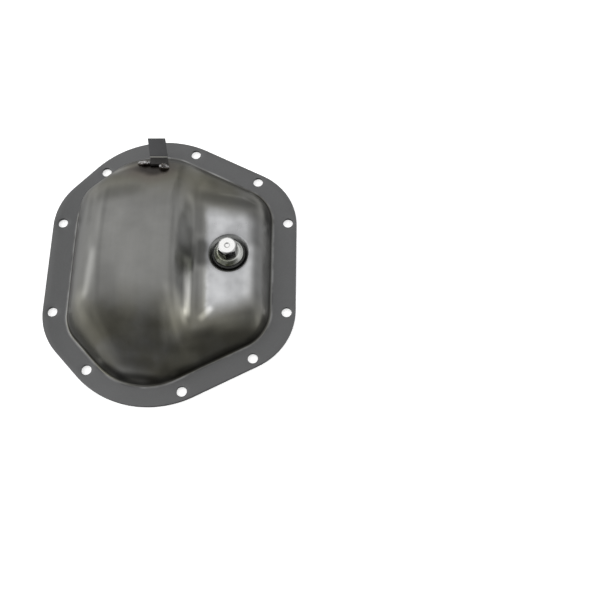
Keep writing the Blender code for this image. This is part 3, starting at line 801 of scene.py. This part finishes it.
def make_beads(material):
    """One bead along the strap's left edge and one behind the end of its foot."""
    end = FOOT_LENGTH / 2.0

    def beside(along, out, lift):
        return on_dome(-STRAP_HALF_WIDTH + 1.5 * MM - out, along - 1.8 * MM, lift)

    def behind(along, out, lift):
        return on_dome(along + 4.5 * MM, -end + 1.5 * MM - out, lift)

    # name, node, length, width and height in mm, place, crater's depth, how far out it is, seed
    beads = [
        ("weld_side", "weld_bead_side", (11.0, 14.5, 5.2), beside, 0.25, 0.3, 3.0),
        ("weld_end", "weld_bead_end", (10.8, 11.5, 6.6), behind, 0.8, 0.38, 8.0),
    ]
    for name, node, size, place, crater, crater_out, seed in beads:
        length, width, height = (value * MM for value in size)
        mesh = bead_mesh(length, width, height, place, crater, crater_out, seed)
        add_piece(name, mesh, material, node)


class Nodes:
    """A node tree in the making: short calls that add and join its nodes."""

    def __init__(self, tree):
        self.tree = tree

    def node(self, kind, feeds, **settings):
        """A new node with its settings, and with values or other nodes fed to its inputs."""
        made = self.tree.nodes.new(kind)
        for key, value in settings.items():
            setattr(made, key, value)
        for key, value in feeds.items():
            self.feed(made.inputs[key], value)
        return made

    def feed(self, socket, value):
        if isinstance(value, bpy.types.NodeSocket):
            self.tree.links.new(value, socket)
        elif isinstance(value, tuple) and len(value) == 3 and socket.type == "RGBA":
            socket.default_value = (*value, 1.0)
        else:
            socket.default_value = value

    def math(self, operation, *values):
        return self.node("ShaderNodeMath", dict(enumerate(values)), operation=operation).outputs[0]

    def split(self, place):
        """The three coordinates of a place."""
        return tuple(self.node("ShaderNodeSeparateXYZ", {0: place}).outputs)

    def brightness(self, value, low, high, stops):
        """Brightness along an angle in degrees, through (angle, brightness) stops."""
        share = self.math("DIVIDE", self.math("SUBTRACT", value, low), high - low)
        made = self.node("ShaderNodeValToRGB", {0: share})
        made.color_ramp.interpolation = "EASE"
        elements = made.color_ramp.elements
        while len(elements) > 1:
            elements.remove(elements[-1])
        for i, (angle, level) in enumerate(stops):
            place = (angle - low) / (high - low)
            element = elements[0] if i == 0 else elements.new(place)
            element.position = place
            grey = level / MOST_LIGHT
            element.color = (grey, grey, grey, 1.0)
        return self.math("MULTIPLY", made.outputs[0], MOST_LIGHT)


class Look(Nodes):
    """A material in the making."""

    def __init__(self, name):
        self.material = bpy.data.materials.new(name)
        self.material.use_nodes = True
        super().__init__(self.material.node_tree)
        self.shader = self.tree.nodes["Principled BSDF"]
        self.place = self.node("ShaderNodeTexCoord", {}).outputs["Object"]

    def mapped(self, setting, value):
        """The place on the part with its Scale or Location changed."""
        return self.node("ShaderNodeMapping", {"Vector": self.place, setting: value}).outputs[0]

    def grain(self, size, detail=4.0, rough=0.55, stretch=(1.0, 1.0, 1.0)):
        """Noise with features of about one size in metres, 0 to 1."""
        place = self.mapped("Scale", stretch)
        feeds = {"Vector": place, "Scale": 1.0 / size, "Detail": detail, "Roughness": rough}
        return self.node("ShaderNodeTexNoise", feeds).outputs["Fac"]

    def ramp(self, value, low, high, bottom=0.0, top=1.0, smooth=True):
        """Map a value from low..high onto bottom..top and hold it there."""
        kind = "SMOOTHSTEP" if smooth else "LINEAR"
        feeds = {"Value": value, "From Min": low, "From Max": high, "To Min": bottom, "To Max": top}
        return self.node("ShaderNodeMapRange", feeds, clamp=True, interpolation_type=kind).outputs[0]

    def product(self, *values):
        made = values[0]
        for value in values[1:]:
            made = self.math("MULTIPLY", made, value)
        return made

    def wobble(self, grain, size):
        """A noise as an offset to both sides, in metres."""
        return self.product(self.math("SUBTRACT", grain, 0.5), size)

    def mix(self, share, a, b):
        return self.node("ShaderNodeMix", {0: share, 6: a, 7: b}, data_type="RGBA").outputs[2]

    def vector(self, operation, feeds):
        return self.node("ShaderNodeVectorMath", feeds, operation=operation).outputs

    def tint(self, colour, value):
        """A colour made darker or lighter by a value around 1."""
        return self.vector("SCALE", {0: colour, "Scale": value})[0]

    def mottled(self, colour, grain, dark, light, smooth=True):
        """A colour that a noise makes darker and lighter in patches."""
        return self.tint(colour, self.ramp(grain, 0.3, 0.7, dark, light, smooth))

    def attribute(self, name):
        return self.node("ShaderNodeAttribute", {}, attribute_name=name).outputs["Fac"]

    def near(self, centre, stretch):
        """Distance from a point in metres, with its directions stretched."""
        away = self.vector("SUBTRACT", {0: self.place, 1: centre})[0]
        stretched = self.vector("MULTIPLY", {0: away, 1: stretch})[0]
        return self.vector("LENGTH", {0: stretched})["Value"]

    def off_axis(self):
        """Distance from the plug's axis in metres."""
        return self.near((PLUG_X, 0.0, 0.0), (1.0, 1.0, 0.0))

    def towards(self, right, up):
        """How far a place lies from the plug's axis in a direction, in metres."""
        x, y, _ = self.split(self.place)
        return self.math("MULTIPLY_ADD", x, right, self.math("MULTIPLY_ADD", y, up, -right * PLUG_X))

    def finish(self, colour, roughness, metallic, bump=None, depth=0.1 * MM, strength=1.0):
        feeds = {"Base Color": colour, "Roughness": roughness, "Metallic": metallic}
        if bump is not None:
            raised = {"Strength": strength, "Distance": depth, "Height": bump}
            feeds["Normal"] = self.node("ShaderNodeBump", raised).outputs[0]
        for name, value in feeds.items():
            self.feed(self.shader.inputs[name], value)
        return self.material


FLANGE_GREY = (0.136, 0.137, 0.138)
CROWN_STEEL = (0.225, 0.225, 0.216)
OLIVE_STEEL = (0.165, 0.160, 0.130)
# painted reflection on the low side
SHEEN_STEEL = (0.52, 0.525, 0.535)
# painted highlight along the root fillet
ROOT_HIGHLIGHT_STEEL = (0.16, 0.16, 0.16)
SCORCH = (0.030, 0.023, 0.018)
# painted shade in the plug's seat
HEAT_TINT = (0.150, 0.120, 0.110)
SEAT_SHADE = (0.020, 0.020, 0.018)
BOSS_STEEL = (0.24, 0.24, 0.235)
STRAP_STEEL = (0.078, 0.078, 0.080)
STRAP_BURNT = (0.035, 0.032, 0.029)
# painted highlight along the strap's bend
STRAP_BEND_HIGHLIGHT = (0.36, 0.36, 0.33)
PLATED_HEAD = (0.97, 0.97, 0.955)
PLATED_CONE = (0.70, 0.71, 0.68)
# yellowed plate with painted shade
YELLOWED_SHADED_PLATE = (0.13, 0.14, 0.085)
SEAL_BLACK = (0.050, 0.051, 0.048)
WELD_BRIGHT = (0.50, 0.50, 0.50)
WELD_SCALED = (0.12, 0.105, 0.095)
PAPER_DARK = (0.90, 0.90, 0.90)
PAPER_LIGHT = (0.92, 0.92, 0.92)
WHITE = (1.0, 1.0, 1.0)


def low_side_sheen_mask(look, x, y, cloud):
    """Where the low side gets a painted reflection and a smoother finish: a slanted field with a crisp
    left and a faded right edge.
    """
    soft = look.wobble(cloud, 0.006)
    lane = look.math("ADD", look.math("MULTIPLY_ADD", y, 0.047, x), soft)
    above = look.math("MULTIPLY_ADD", x, 0.20, look.math("ADD", y, soft))
    below = look.math("MULTIPLY_ADD", x, -0.338, look.math("ADD", y, soft))
    return look.product(
        look.ramp(lane, 0.0360, 0.0430),
        look.ramp(x, 0.068, 0.102, 1.0, 0.0),
        look.ramp(above, 0.045, 0.063, 1.0, 0.0),
        look.ramp(below, -0.088, -0.062),
    )


def with_heat_marks(look, colour, cloud):
    """Tinted and scorched steel round the two weld beads."""
    beside = look.near(FOOT_ORIGIN + Vector((-7.0, -11.0, 7.0)) * MM, (0.75, 1.0, 0.5))
    behind = look.near(FOOT_ORIGIN + Vector((-2.0, -15.0, 10.0)) * MM, (1.0, 1.0, 0.5))
    burn = look.math("MULTIPLY_ADD", cloud, 0.005, look.math("MINIMUM", beside, behind))
    colour = look.mix(look.ramp(burn, 0.014, 0.030, 0.45, 0.0), colour, HEAT_TINT)
    return look.mix(look.ramp(burn, 0.008, 0.018, 0.92, 0.0), colour, SCORCH)


def with_crease_shade(look, colour, inset, x, y):
    """Painted shade in the crease of the wall, left out at both ends of the bulge."""
    open_top = look.product(look.ramp(y, 0.100, 0.112), look.ramp(x, 0.008, 0.022, 1.0, 0.0))
    open_low = look.product(look.ramp(y, -0.110, -0.098, 1.0, 0.0), look.ramp(x, 0.0, 0.016, 1.0, 0.0))
    closed = look.math("SUBTRACT", 1.0, look.math("MAXIMUM", open_top, open_low))
    crease = look.product(look.ramp(inset, 0.8, 1.8), look.ramp(inset, 2.4, 4.5, 1.0, 0.0), closed)
    return look.tint(colour, look.ramp(crease, 0.0, 1.0, 1.0, 0.5, False))


def with_seat_shade(look, colour, cloud):
    """Painted shade in and round the plug's seat recess, thickest towards the low right."""
    seat = look.math("ADD", look.off_axis(), look.wobble(cloud, 0.003))
    shade_weight = look.ramp(look.towards(0.5, -0.85), -0.012, 0.010, 0.48, 0.80)
    seat_shade_share = look.product(look.ramp(seat, 0.0155, 0.0242, 1.0, 0.0), shade_weight)
    return look.mix(seat_shade_share, colour, SEAT_SHADE)


def pressed_steel_look():
    """Dull flange, oiled satin dome, a low side with a painted reflection and a smoother finish, painted
    highlight and shade marks, a painted highlight along the root, painted shade in the crease and round
    the plug's seat, and heat marks round the welds.
    """
    look = Look("pressed_steel_finish")
    inset = look.attribute("inset_mm")
    x, y, _ = look.split(look.place)
    cloud = look.grain(0.018)
    drawn = look.grain(0.016, 3.0, 0.6, (1.0, 0.10, 0.2))
    fine = look.grain(0.0009, 3.0, 0.7)
    dome = look.ramp(inset, -1.4, 0.2)
    # where the low side gets a painted reflection and a smoother finish
    low_side_sheen = low_side_sheen_mask(look, x, y, cloud)
    ends = look.ramp(look.math("ABSOLUTE", y), 0.030, 0.085)
    oiled = look.product(ends, look.ramp(look.grain(0.050, 3.0, 0.5), 0.25, 0.6))
    # painted reflection: a bright colour standing in for the light the low side reflects; its lower
    # roughness below is a smoother finish
    painted_sheen = look.tint(SHEEN_STEEL, look.ramp(look.grain(0.015, 1.5, 0.4), 0.25, 0.75, 0.82, 1.12))
    steel = look.mix(low_side_sheen, look.mix(oiled, CROWN_STEEL, OLIVE_STEEL), painted_sheen)
    steel = look.mottled(steel, drawn, 0.95, 1.05, False)
    steel = look.mottled(steel, cloud, 0.95, 1.06, False)
    # painted highlight along the root fillet, broken by noise, lighter still along the top of the root
    root_highlight = look.tint(ROOT_HIGHLIGHT_STEEL, look.ramp(look.grain(0.030, 3.0, 0.6), 0.38, 0.62, 0.6, 1.25))
    root_highlight = look.tint(root_highlight, look.ramp(y, 0.095, 0.112, 1.0, 1.9, False))
    steel = look.mix(look.ramp(inset, 0.2, 1.6, 1.0, 0.0), steel, root_highlight)
    # painted highlights and painted shade from the marks' tones
    steel = look.tint(steel, look.attribute("painted_light_tone"))
    flange = look.mottled(FLANGE_GREY, fine, 0.95, 1.05, False)
    flange = look.mottled(flange, cloud, 0.95, 1.05, False)
    flange = look.tint(flange, look.ramp(x, -0.125, -0.060, 0.8, 1.0))
    colour = look.mix(dome, flange, steel)
    colour = with_heat_marks(look, colour, cloud)
    # painted shade in the crease at the wall's root
    colour = with_crease_shade(look, colour, inset, x, y)
    # painted shade round the plug's seat
    colour = with_seat_shade(look, colour, cloud)
    rough = look.mix(dome, (0.46, 0.46, 0.46), (0.33, 0.33, 0.33))
    rough = look.mix(low_side_sheen, rough, (0.29, 0.29, 0.29))
    rough = look.math("ADD", rough, look.ramp(cloud, 0.3, 0.7, -0.03, 0.04, False))
    bump = look.math("MULTIPLY_ADD", fine, 0.04, drawn)
    return look.finish(colour, rough, 1.0, bump, 0.05 * MM, 0.25)


def boss_look():
    look = Look("boss_steel_finish")
    turned_lines = look.grain(0.0006, 2.0, 0.6, (0.1, 0.1, 1.0))
    cloud = look.grain(0.006)
    colour = look.mottled(BOSS_STEEL, cloud, 0.8, 1.15)
    return look.finish(colour, look.ramp(cloud, 0.3, 0.7, 0.3, 0.45), 1.0, turned_lines, 0.04 * MM, 0.5)


def strap_look():
    """Dark hot rolled bar: burnt at the foot, with a painted highlight along the bend."""
    look = Look("strap_steel_finish")
    _, y, _ = look.split(look.place)
    cloud = look.grain(0.006)
    scale = look.grain(0.0011, 3.0, 0.6)
    bend = FOOT_MIDDLE.y + 10.9 * MM
    heat = look.ramp(y, bend - 3.0 * MM, bend + 4.0 * MM, 0.8, 0.0)
    colour = look.mix(heat, look.mottled(STRAP_STEEL, cloud, 0.92, 1.08), STRAP_BURNT)
    # painted highlight along the bend line
    off = look.math("ABSOLUTE", look.math("SUBTRACT", y, bend))
    colour = look.mix(look.ramp(off, 0.2 * MM, 0.7 * MM, 0.85, 0.0), colour, STRAP_BEND_HIGHLIGHT)
    rough = look.ramp(cloud, 0.3, 0.7, 0.48, 0.60)
    return look.finish(colour, rough, 0.9, scale, 0.05 * MM, 0.4)


def plated_look():
    """Bright zinc plate, yellowed with painted shade low down on the left of the coned flange, with turned
    rings, and painted shade on the hexagon's sides, chamfer and dimple and at the hexagon's foot.
    """
    look = Look("plated_steel_finish")
    cloud = look.grain(0.005, 3.0, 0.5)
    _, _, height = look.split(look.place)
    axis = look.off_axis()
    up_right = look.towards(0.6, 0.8)
    patches = look.ramp(cloud, 0.3, 0.6, 1.0, 0.7)
    # yellowed plate with painted shade on the cone's low left side
    yellow_and_shade = look.product(look.ramp(up_right, -0.010, 0.003, 1.0, 0.0), patches)
    cone = look.mix(yellow_and_shade, PLATED_CONE, YELLOWED_SHADED_PLATE)
    # painted shade where the cone meets the hexagon
    cone = look.tint(cone, look.ramp(axis, 0.0096, 0.0112, 0.5, 1.0))
    # painted shade in the dimple
    dimple = look.product(look.ramp(axis, 0.0012, 0.0021), look.ramp(axis, 0.0026, 0.0034, 1.0, 0.0))
    top = look.tint(PLATED_HEAD, look.ramp(dimple, 0.0, 1.0, 1.0, 0.6, False))
    # painted shade on the chamfer
    top = look.tint(top, look.ramp(axis, 0.0072, 0.0080, 1.0, 0.5))
    # painted shade on the hexagon's sides, darker still on the low left
    edge = (PLUG_HEAD_TOP - 1.3 * MM, PLUG_HEAD_TOP - 0.9 * MM)
    top = look.tint(top, look.ramp(height, *edge, 0.38, 1.0))
    shade = look.ramp(up_right, -0.0075, -0.0030, 0.22, 1.0)
    top = look.tint(top, look.mix(look.ramp(height, *edge), shade, WHITE))
    head = look.ramp(height, PLUG_HEAD_BASE, PLUG_HEAD_BASE + 1.0 * MM)
    colour = look.mix(head, cone, top)
    feeds = {"Vector": look.mapped("Location", (-PLUG_X, 0.0, 0.0)), "Scale": 480.0}
    rings = look.node("ShaderNodeTexWave", feeds, wave_type="RINGS", rings_direction="Z")
    rough = look.ramp(cloud, 0.3, 0.7, 0.15, 0.24)
    turned_rings = look.product(rings.outputs["Fac"], look.math("SUBTRACT", 1.0, head))
    return look.finish(colour, rough, 1.0, turned_rings, 0.03 * MM, 0.6)


def rubber_look():
    look = Look("seal_rubber_finish")
    cloud = look.grain(0.002, 3.0, 0.6)
    look.shader.inputs["Specular IOR Level"].default_value = 0.2
    colour = look.mottled(SEAL_BLACK, cloud, 0.8, 1.3)
    return look.finish(colour, look.ramp(cloud, 0.3, 0.7, 0.7, 0.8), 0.0, cloud, 0.03 * MM, 0.4)


def weld_look():
    """Weld metal: bright, with scaled patches."""
    look = Look("weld_metal_finish")
    cloud = look.grain(0.0022, 4.0, 0.6)
    grit = look.grain(0.0007, 2.0, 0.6)
    colour = look.mix(look.ramp(cloud, 0.38, 0.60), WELD_BRIGHT, WELD_SCALED)
    return look.finish(colour, look.ramp(cloud, 0.3, 0.7, 0.28, 0.5), 1.0, grit, 0.06 * MM, 0.6)


# Painted highlights and painted shade over the pressing, in mm: start x, y, end x, y, half width, taper,
# tone
PAINTED_LIGHT_MARKS = [
    # the step's flank
    (26, 8, 27, -8, 5.5, 6, 0.62),
    (17.5, -8, 18, -38, 5, 8, 1.45),
    (25.5, -16, 26, -26, 4, 5, 1.4),
    (30.5, -18, 32.5, -62, 4, 6, 0.8),
    (19, 40, 20.5, 0, 7, 8, 1.5),
    (12, 40, 13, 6, 6, 8, 0.93),
    (6.5, 86, 9.4, 58, 2.8, 6, 1.17),
    (9.2, 56, 13.2, 8, 3, 6, 1.15),
    (13, -8, 14, -24, 7, 8, 1.15),
    (8, -64, 10, -92, 12, 12, 2),
    (18, -88, 26, -93, 8, 6, 0.6),
    (21.4, 60, 23.2, 24, 5, 6, 1.45),
    (3, 100, 26, 102, 9, 8, 1.28),
    (31, 96, 31, 72, 13, 12, 1.3),
    (30.2, 54, 31.4, 18, 7, 9, 0.66),
    (32.5, 15, 32.9, -14, 8.5, 6, 0.39),
    (22.4, -10, 24.2, -66, 4.4, 6, 4.2),
    (39, -16, 40.5, -60, 5, 6, 1.6),
    (36, -69, 46.5, -58, 5, 4, 2.3),
    (20.5, -62, 22.5, -75, 4.5, 5, 1.7),
    (7, -44, 9, -62, 6, 7, 1.3),
    (17, -48, 19.5, -72, 7, 12, 2),
    # the low side
    (38.5, 14, 39.5, -12, 6, 6, 0.54),
    (26, 63, 86, 54, 13, 10, 0.58),
    (82, 46, 86, 8, 10, 8, 0.66),
    (79, 6, 81, -46, 9, 10, 1.4),
    (90.5, 44, 90.5, -50, 7.5, 12, 0.64),
    (97, 30, 97, -56, 5.5, 8, 2.1),
    (92, 58, 97, 44, 5, 5, 0.6),
    (56, -73, 90, -66, 10, 10, 1.65),
    (20, -86, 50, -79, 9, 8, 0.62),
    (6, -109, 34, -101, 9, 6, 1.55),
    (50, 66.5, 71.8, 64.3, 2.4, 4, 1.3),
    (71.8, 64.3, 85.1, 56.8, 2.4, 2, 1.35),
    # the bulge and its left wall
    (-60, -107, -38.5, -118.5, 4.5, 6, 0.4),
    (-43, -118.4, -4, -121.6, 5, 9, 0.28),
    (-62, 50, -26, 58, 17, 14, 0.66),
    (-50, -24, -44, -76, 16, 12, 0.8),
    (-72, 80, -71, 56, 6, 6, 1.25),
    (-65, 52, -63, -12, 6, 8, 0.62),
    (-57.5, 60, -57.5, -60, 4.5, 14, 0.8),
    (-103, 40, -103, -30, 7, 12, 0.7),
    (-104, -44, -99, -66, 6, 6, 1.5),
    (-81, 58, -84, 20, 8, 12, 0.62),
    (-76, -50, -72, -74, 11, 10, 1.5),
    (-80, -90, -63, -106, 5.5, 6, 0.75),
    (-72, 48, -71, 16, 6, 8, 0.8),
    (-42, -108, -6, -112, 8, 8, 0.74),
    (-58, 85, -26, 108, 6, 6, 2.1),
]


def painted_light_tone(x, y):
    """How much painted light or painted shade the marks put on the pressing at a place."""
    tone = 1.0
    for ax, ay, bx, by, width, taper, level in PAINTED_LIGHT_MARKS:
        length = dist((ax, ay), (bx, by))
        ux, uy = (bx - ax) / length, (by - ay) / length
        along = (x - ax) * ux + (y - ay) * uy
        across = abs((y - ay) * ux - (x - ax) * uy)
        if across < width and -taper < along < length + taper:
            start = smooth_step((along + taper) / (2.0 * taper))
            end = smooth_step((length + taper - along) / (2.0 * taper))
            tone *= 1.0 + (level - 1.0) * smooth_step(1.0 - across / width) * (start * end)
    return tone


def add_shell_attributes(shell):
    """Distance inside the root in millimetres, and the tone of the painted highlight and shade marks."""
    places = [(v.co.x, v.co.y) for v in shell.data.vertices]
    insets = [inset_of(x, y) / MM for x, y in places]
    tones = [painted_light_tone(x / MM, y / MM) for x, y in places]
    shell.data.attributes.new("inset_mm", "FLOAT", "POINT").data.foreach_set("value", insets)
    shell.data.attributes.new("painted_light_tone", "FLOAT", "POINT").data.foreach_set("value", tones)


FLOOR_PROFILE = [
    (0.3, 0.0), (1.2, 0.0), (3.0, 0.0), (3.3, 0.04), (3.55, 0.15), (3.7, 0.35), (3.75, 0.7), (3.75, 1.6),
]
FLOOR_STEPS = 64
FLOOR_DROP = 1.0 * MM
FLOOR_GLOW = 0.55


def add_floor():
    """Pale round floor, gently curved up far away from the part."""
    skin = Skin()
    centre = Vector((0.0, 0.0))
    rings = []
    for radius, height in FLOOR_PROFILE:
        rings.append(skin.ring(circle(centre, radius, FLOOR_STEPS, height - FLOOR_DROP)))
    skin.cap(rings[0])
    for a, b in zip(rings, rings[1:]):
        skin.bridge(a, b)
    look = Look("floor_paper")
    soft = look.grain(0.4, 2.0, 0.5)
    look.feed(look.shader.inputs["Emission Color"], WHITE)
    look.shader.inputs["Emission Strength"].default_value = FLOOR_GLOW
    paper = look.finish(look.mix(soft, PAPER_DARK, PAPER_LIGHT), 0.9, 0.0)
    floor = new_object("studio_floor", skin.mesh(), paper)
    floor.data.shade_smooth()
    floor.visible_glossy = False


def add_world():
    """A soft studio: bright overhead, a strip on the left, dimmer to the right, dark in front."""
    world = bpy.data.worlds.new("studio")
    bpy.context.scene.world = world
    world.use_nodes = True
    sky = Nodes(world.node_tree)
    x, y, z = sky.split(sky.node("ShaderNodeTexCoord", {}).outputs["Generated"])
    degrees = 180.0 / pi
    back = sky.math("MULTIPLY", sky.math("ARCSINE", y), degrees)
    side = sky.math("MULTIPLY", sky.math("ARCTAN2", x, z), degrees)
    lengthwise = sky.brightness(back, -90.0, 90.0, BACK_LIGHT)
    crosswise = sky.brightness(side, -180.0, 180.0, SIDE_LIGHT)
    fill = sky.brightness(side, -180.0, 180.0, FILL_LIGHT)
    background = sky.tree.nodes["Background"]
    background.inputs["Color"].default_value = (1.0, 1.0, 1.0, 1.0)
    sky.feed(background.inputs["Strength"], sky.math("MULTIPLY_ADD", lengthwise, crosswise, fill))


# Brightness all round the part, by the angle towards its back and by the angle round to its right
MOST_LIGHT = 4.0
BACK_LIGHT = [
    (-90, 0.1), (-50, 0.12), (-33, 0.16), (-15, 1.0), (36, 0.98), (58, 0.72), (77, 0.52), (88, 0.5),
]
SIDE_LIGHT = [
    (-170, 0.2), (-140, 0.24), (-115, 0.26), (-90, 0.36), (-68, 0.62), (-55, 1.5), (-42, 2.1),
    (-31, 1.45), (-22, 0.88), (12, 0.94), (28, 0.86), (50, 0.7), (75, 0.62), (98, 0.72),
    (124, 0.95), (140, 1.0), (158, 0.4),
]
FILL_LIGHT = [(-170, 0.1), (-140, 0.28), (-100, 0.62), (-60, 0.32), (-20, 0.03), (60, 0.1), (170, 0.1)]

# Camera, fitted to the bolt holes in the photo
CAMERA_TILT = radians(22.0)
CAMERA_ROLL = radians(-2.49)
PART_TURN = radians(2.81)
FOCUS_PIXELS = 877.0
FRAME_PIXELS = 600.0
SENSOR_MM = 36.0
PRINCIPAL = Vector((-130.314218, 35.12521595, 0.0)) * MM


def to_row(v):
    """From the photograph's level directions to the part's own."""
    x = cos(PART_TURN) * v[0] + sin(PART_TURN) * v[1]
    y = -sin(PART_TURN) * v[0] + cos(PART_TURN) * v[1]
    return Vector((x, -y, v[2]))


def add_camera():
    """Camera from the front and above, at the photograph's angle."""
    sine, cosine = sin(CAMERA_TILT), cos(CAMERA_TILT)
    right, down = Vector((1.0, 0.0, 0.0)), Vector((0.0, cosine, -sine))
    roll_cos, roll_sin = cos(CAMERA_ROLL), sin(CAMERA_ROLL)
    frame_right = to_row(roll_cos * right - roll_sin * down)
    frame_down = to_row(roll_sin * right + roll_cos * down)
    forward = to_row((0.0, -sine, -cosine))
    data = bpy.data.cameras.new("photo_camera")
    data.sensor_width = SENSOR_MM
    data.lens = FOCUS_PIXELS / FRAME_PIXELS * SENSOR_MM
    data.clip_start = 0.01
    camera = bpy.data.objects.new("photo_camera", data)
    bpy.context.scene.collection.objects.link(camera)
    placed = Matrix((frame_right, -frame_down, -forward)).transposed().to_4x4()
    placed.translation = to_row((0.0, FOCUS_PIXELS * sine, FOCUS_PIXELS * cosine)) * MM - PRINCIPAL
    camera.matrix_world = placed
    bpy.context.scene.camera = camera


def main():
    add_camera()
    add_world()
    add_floor()
    add_shell_attributes(make_shell(pressed_steel_look()))
    make_plug(plated_look())
    make_seal(rubber_look())
    make_boss(boss_look())
    make_strap(strap_look())
    make_beads(weld_look())
    bpy.context.scene.view_settings.view_transform = "Standard"


main()
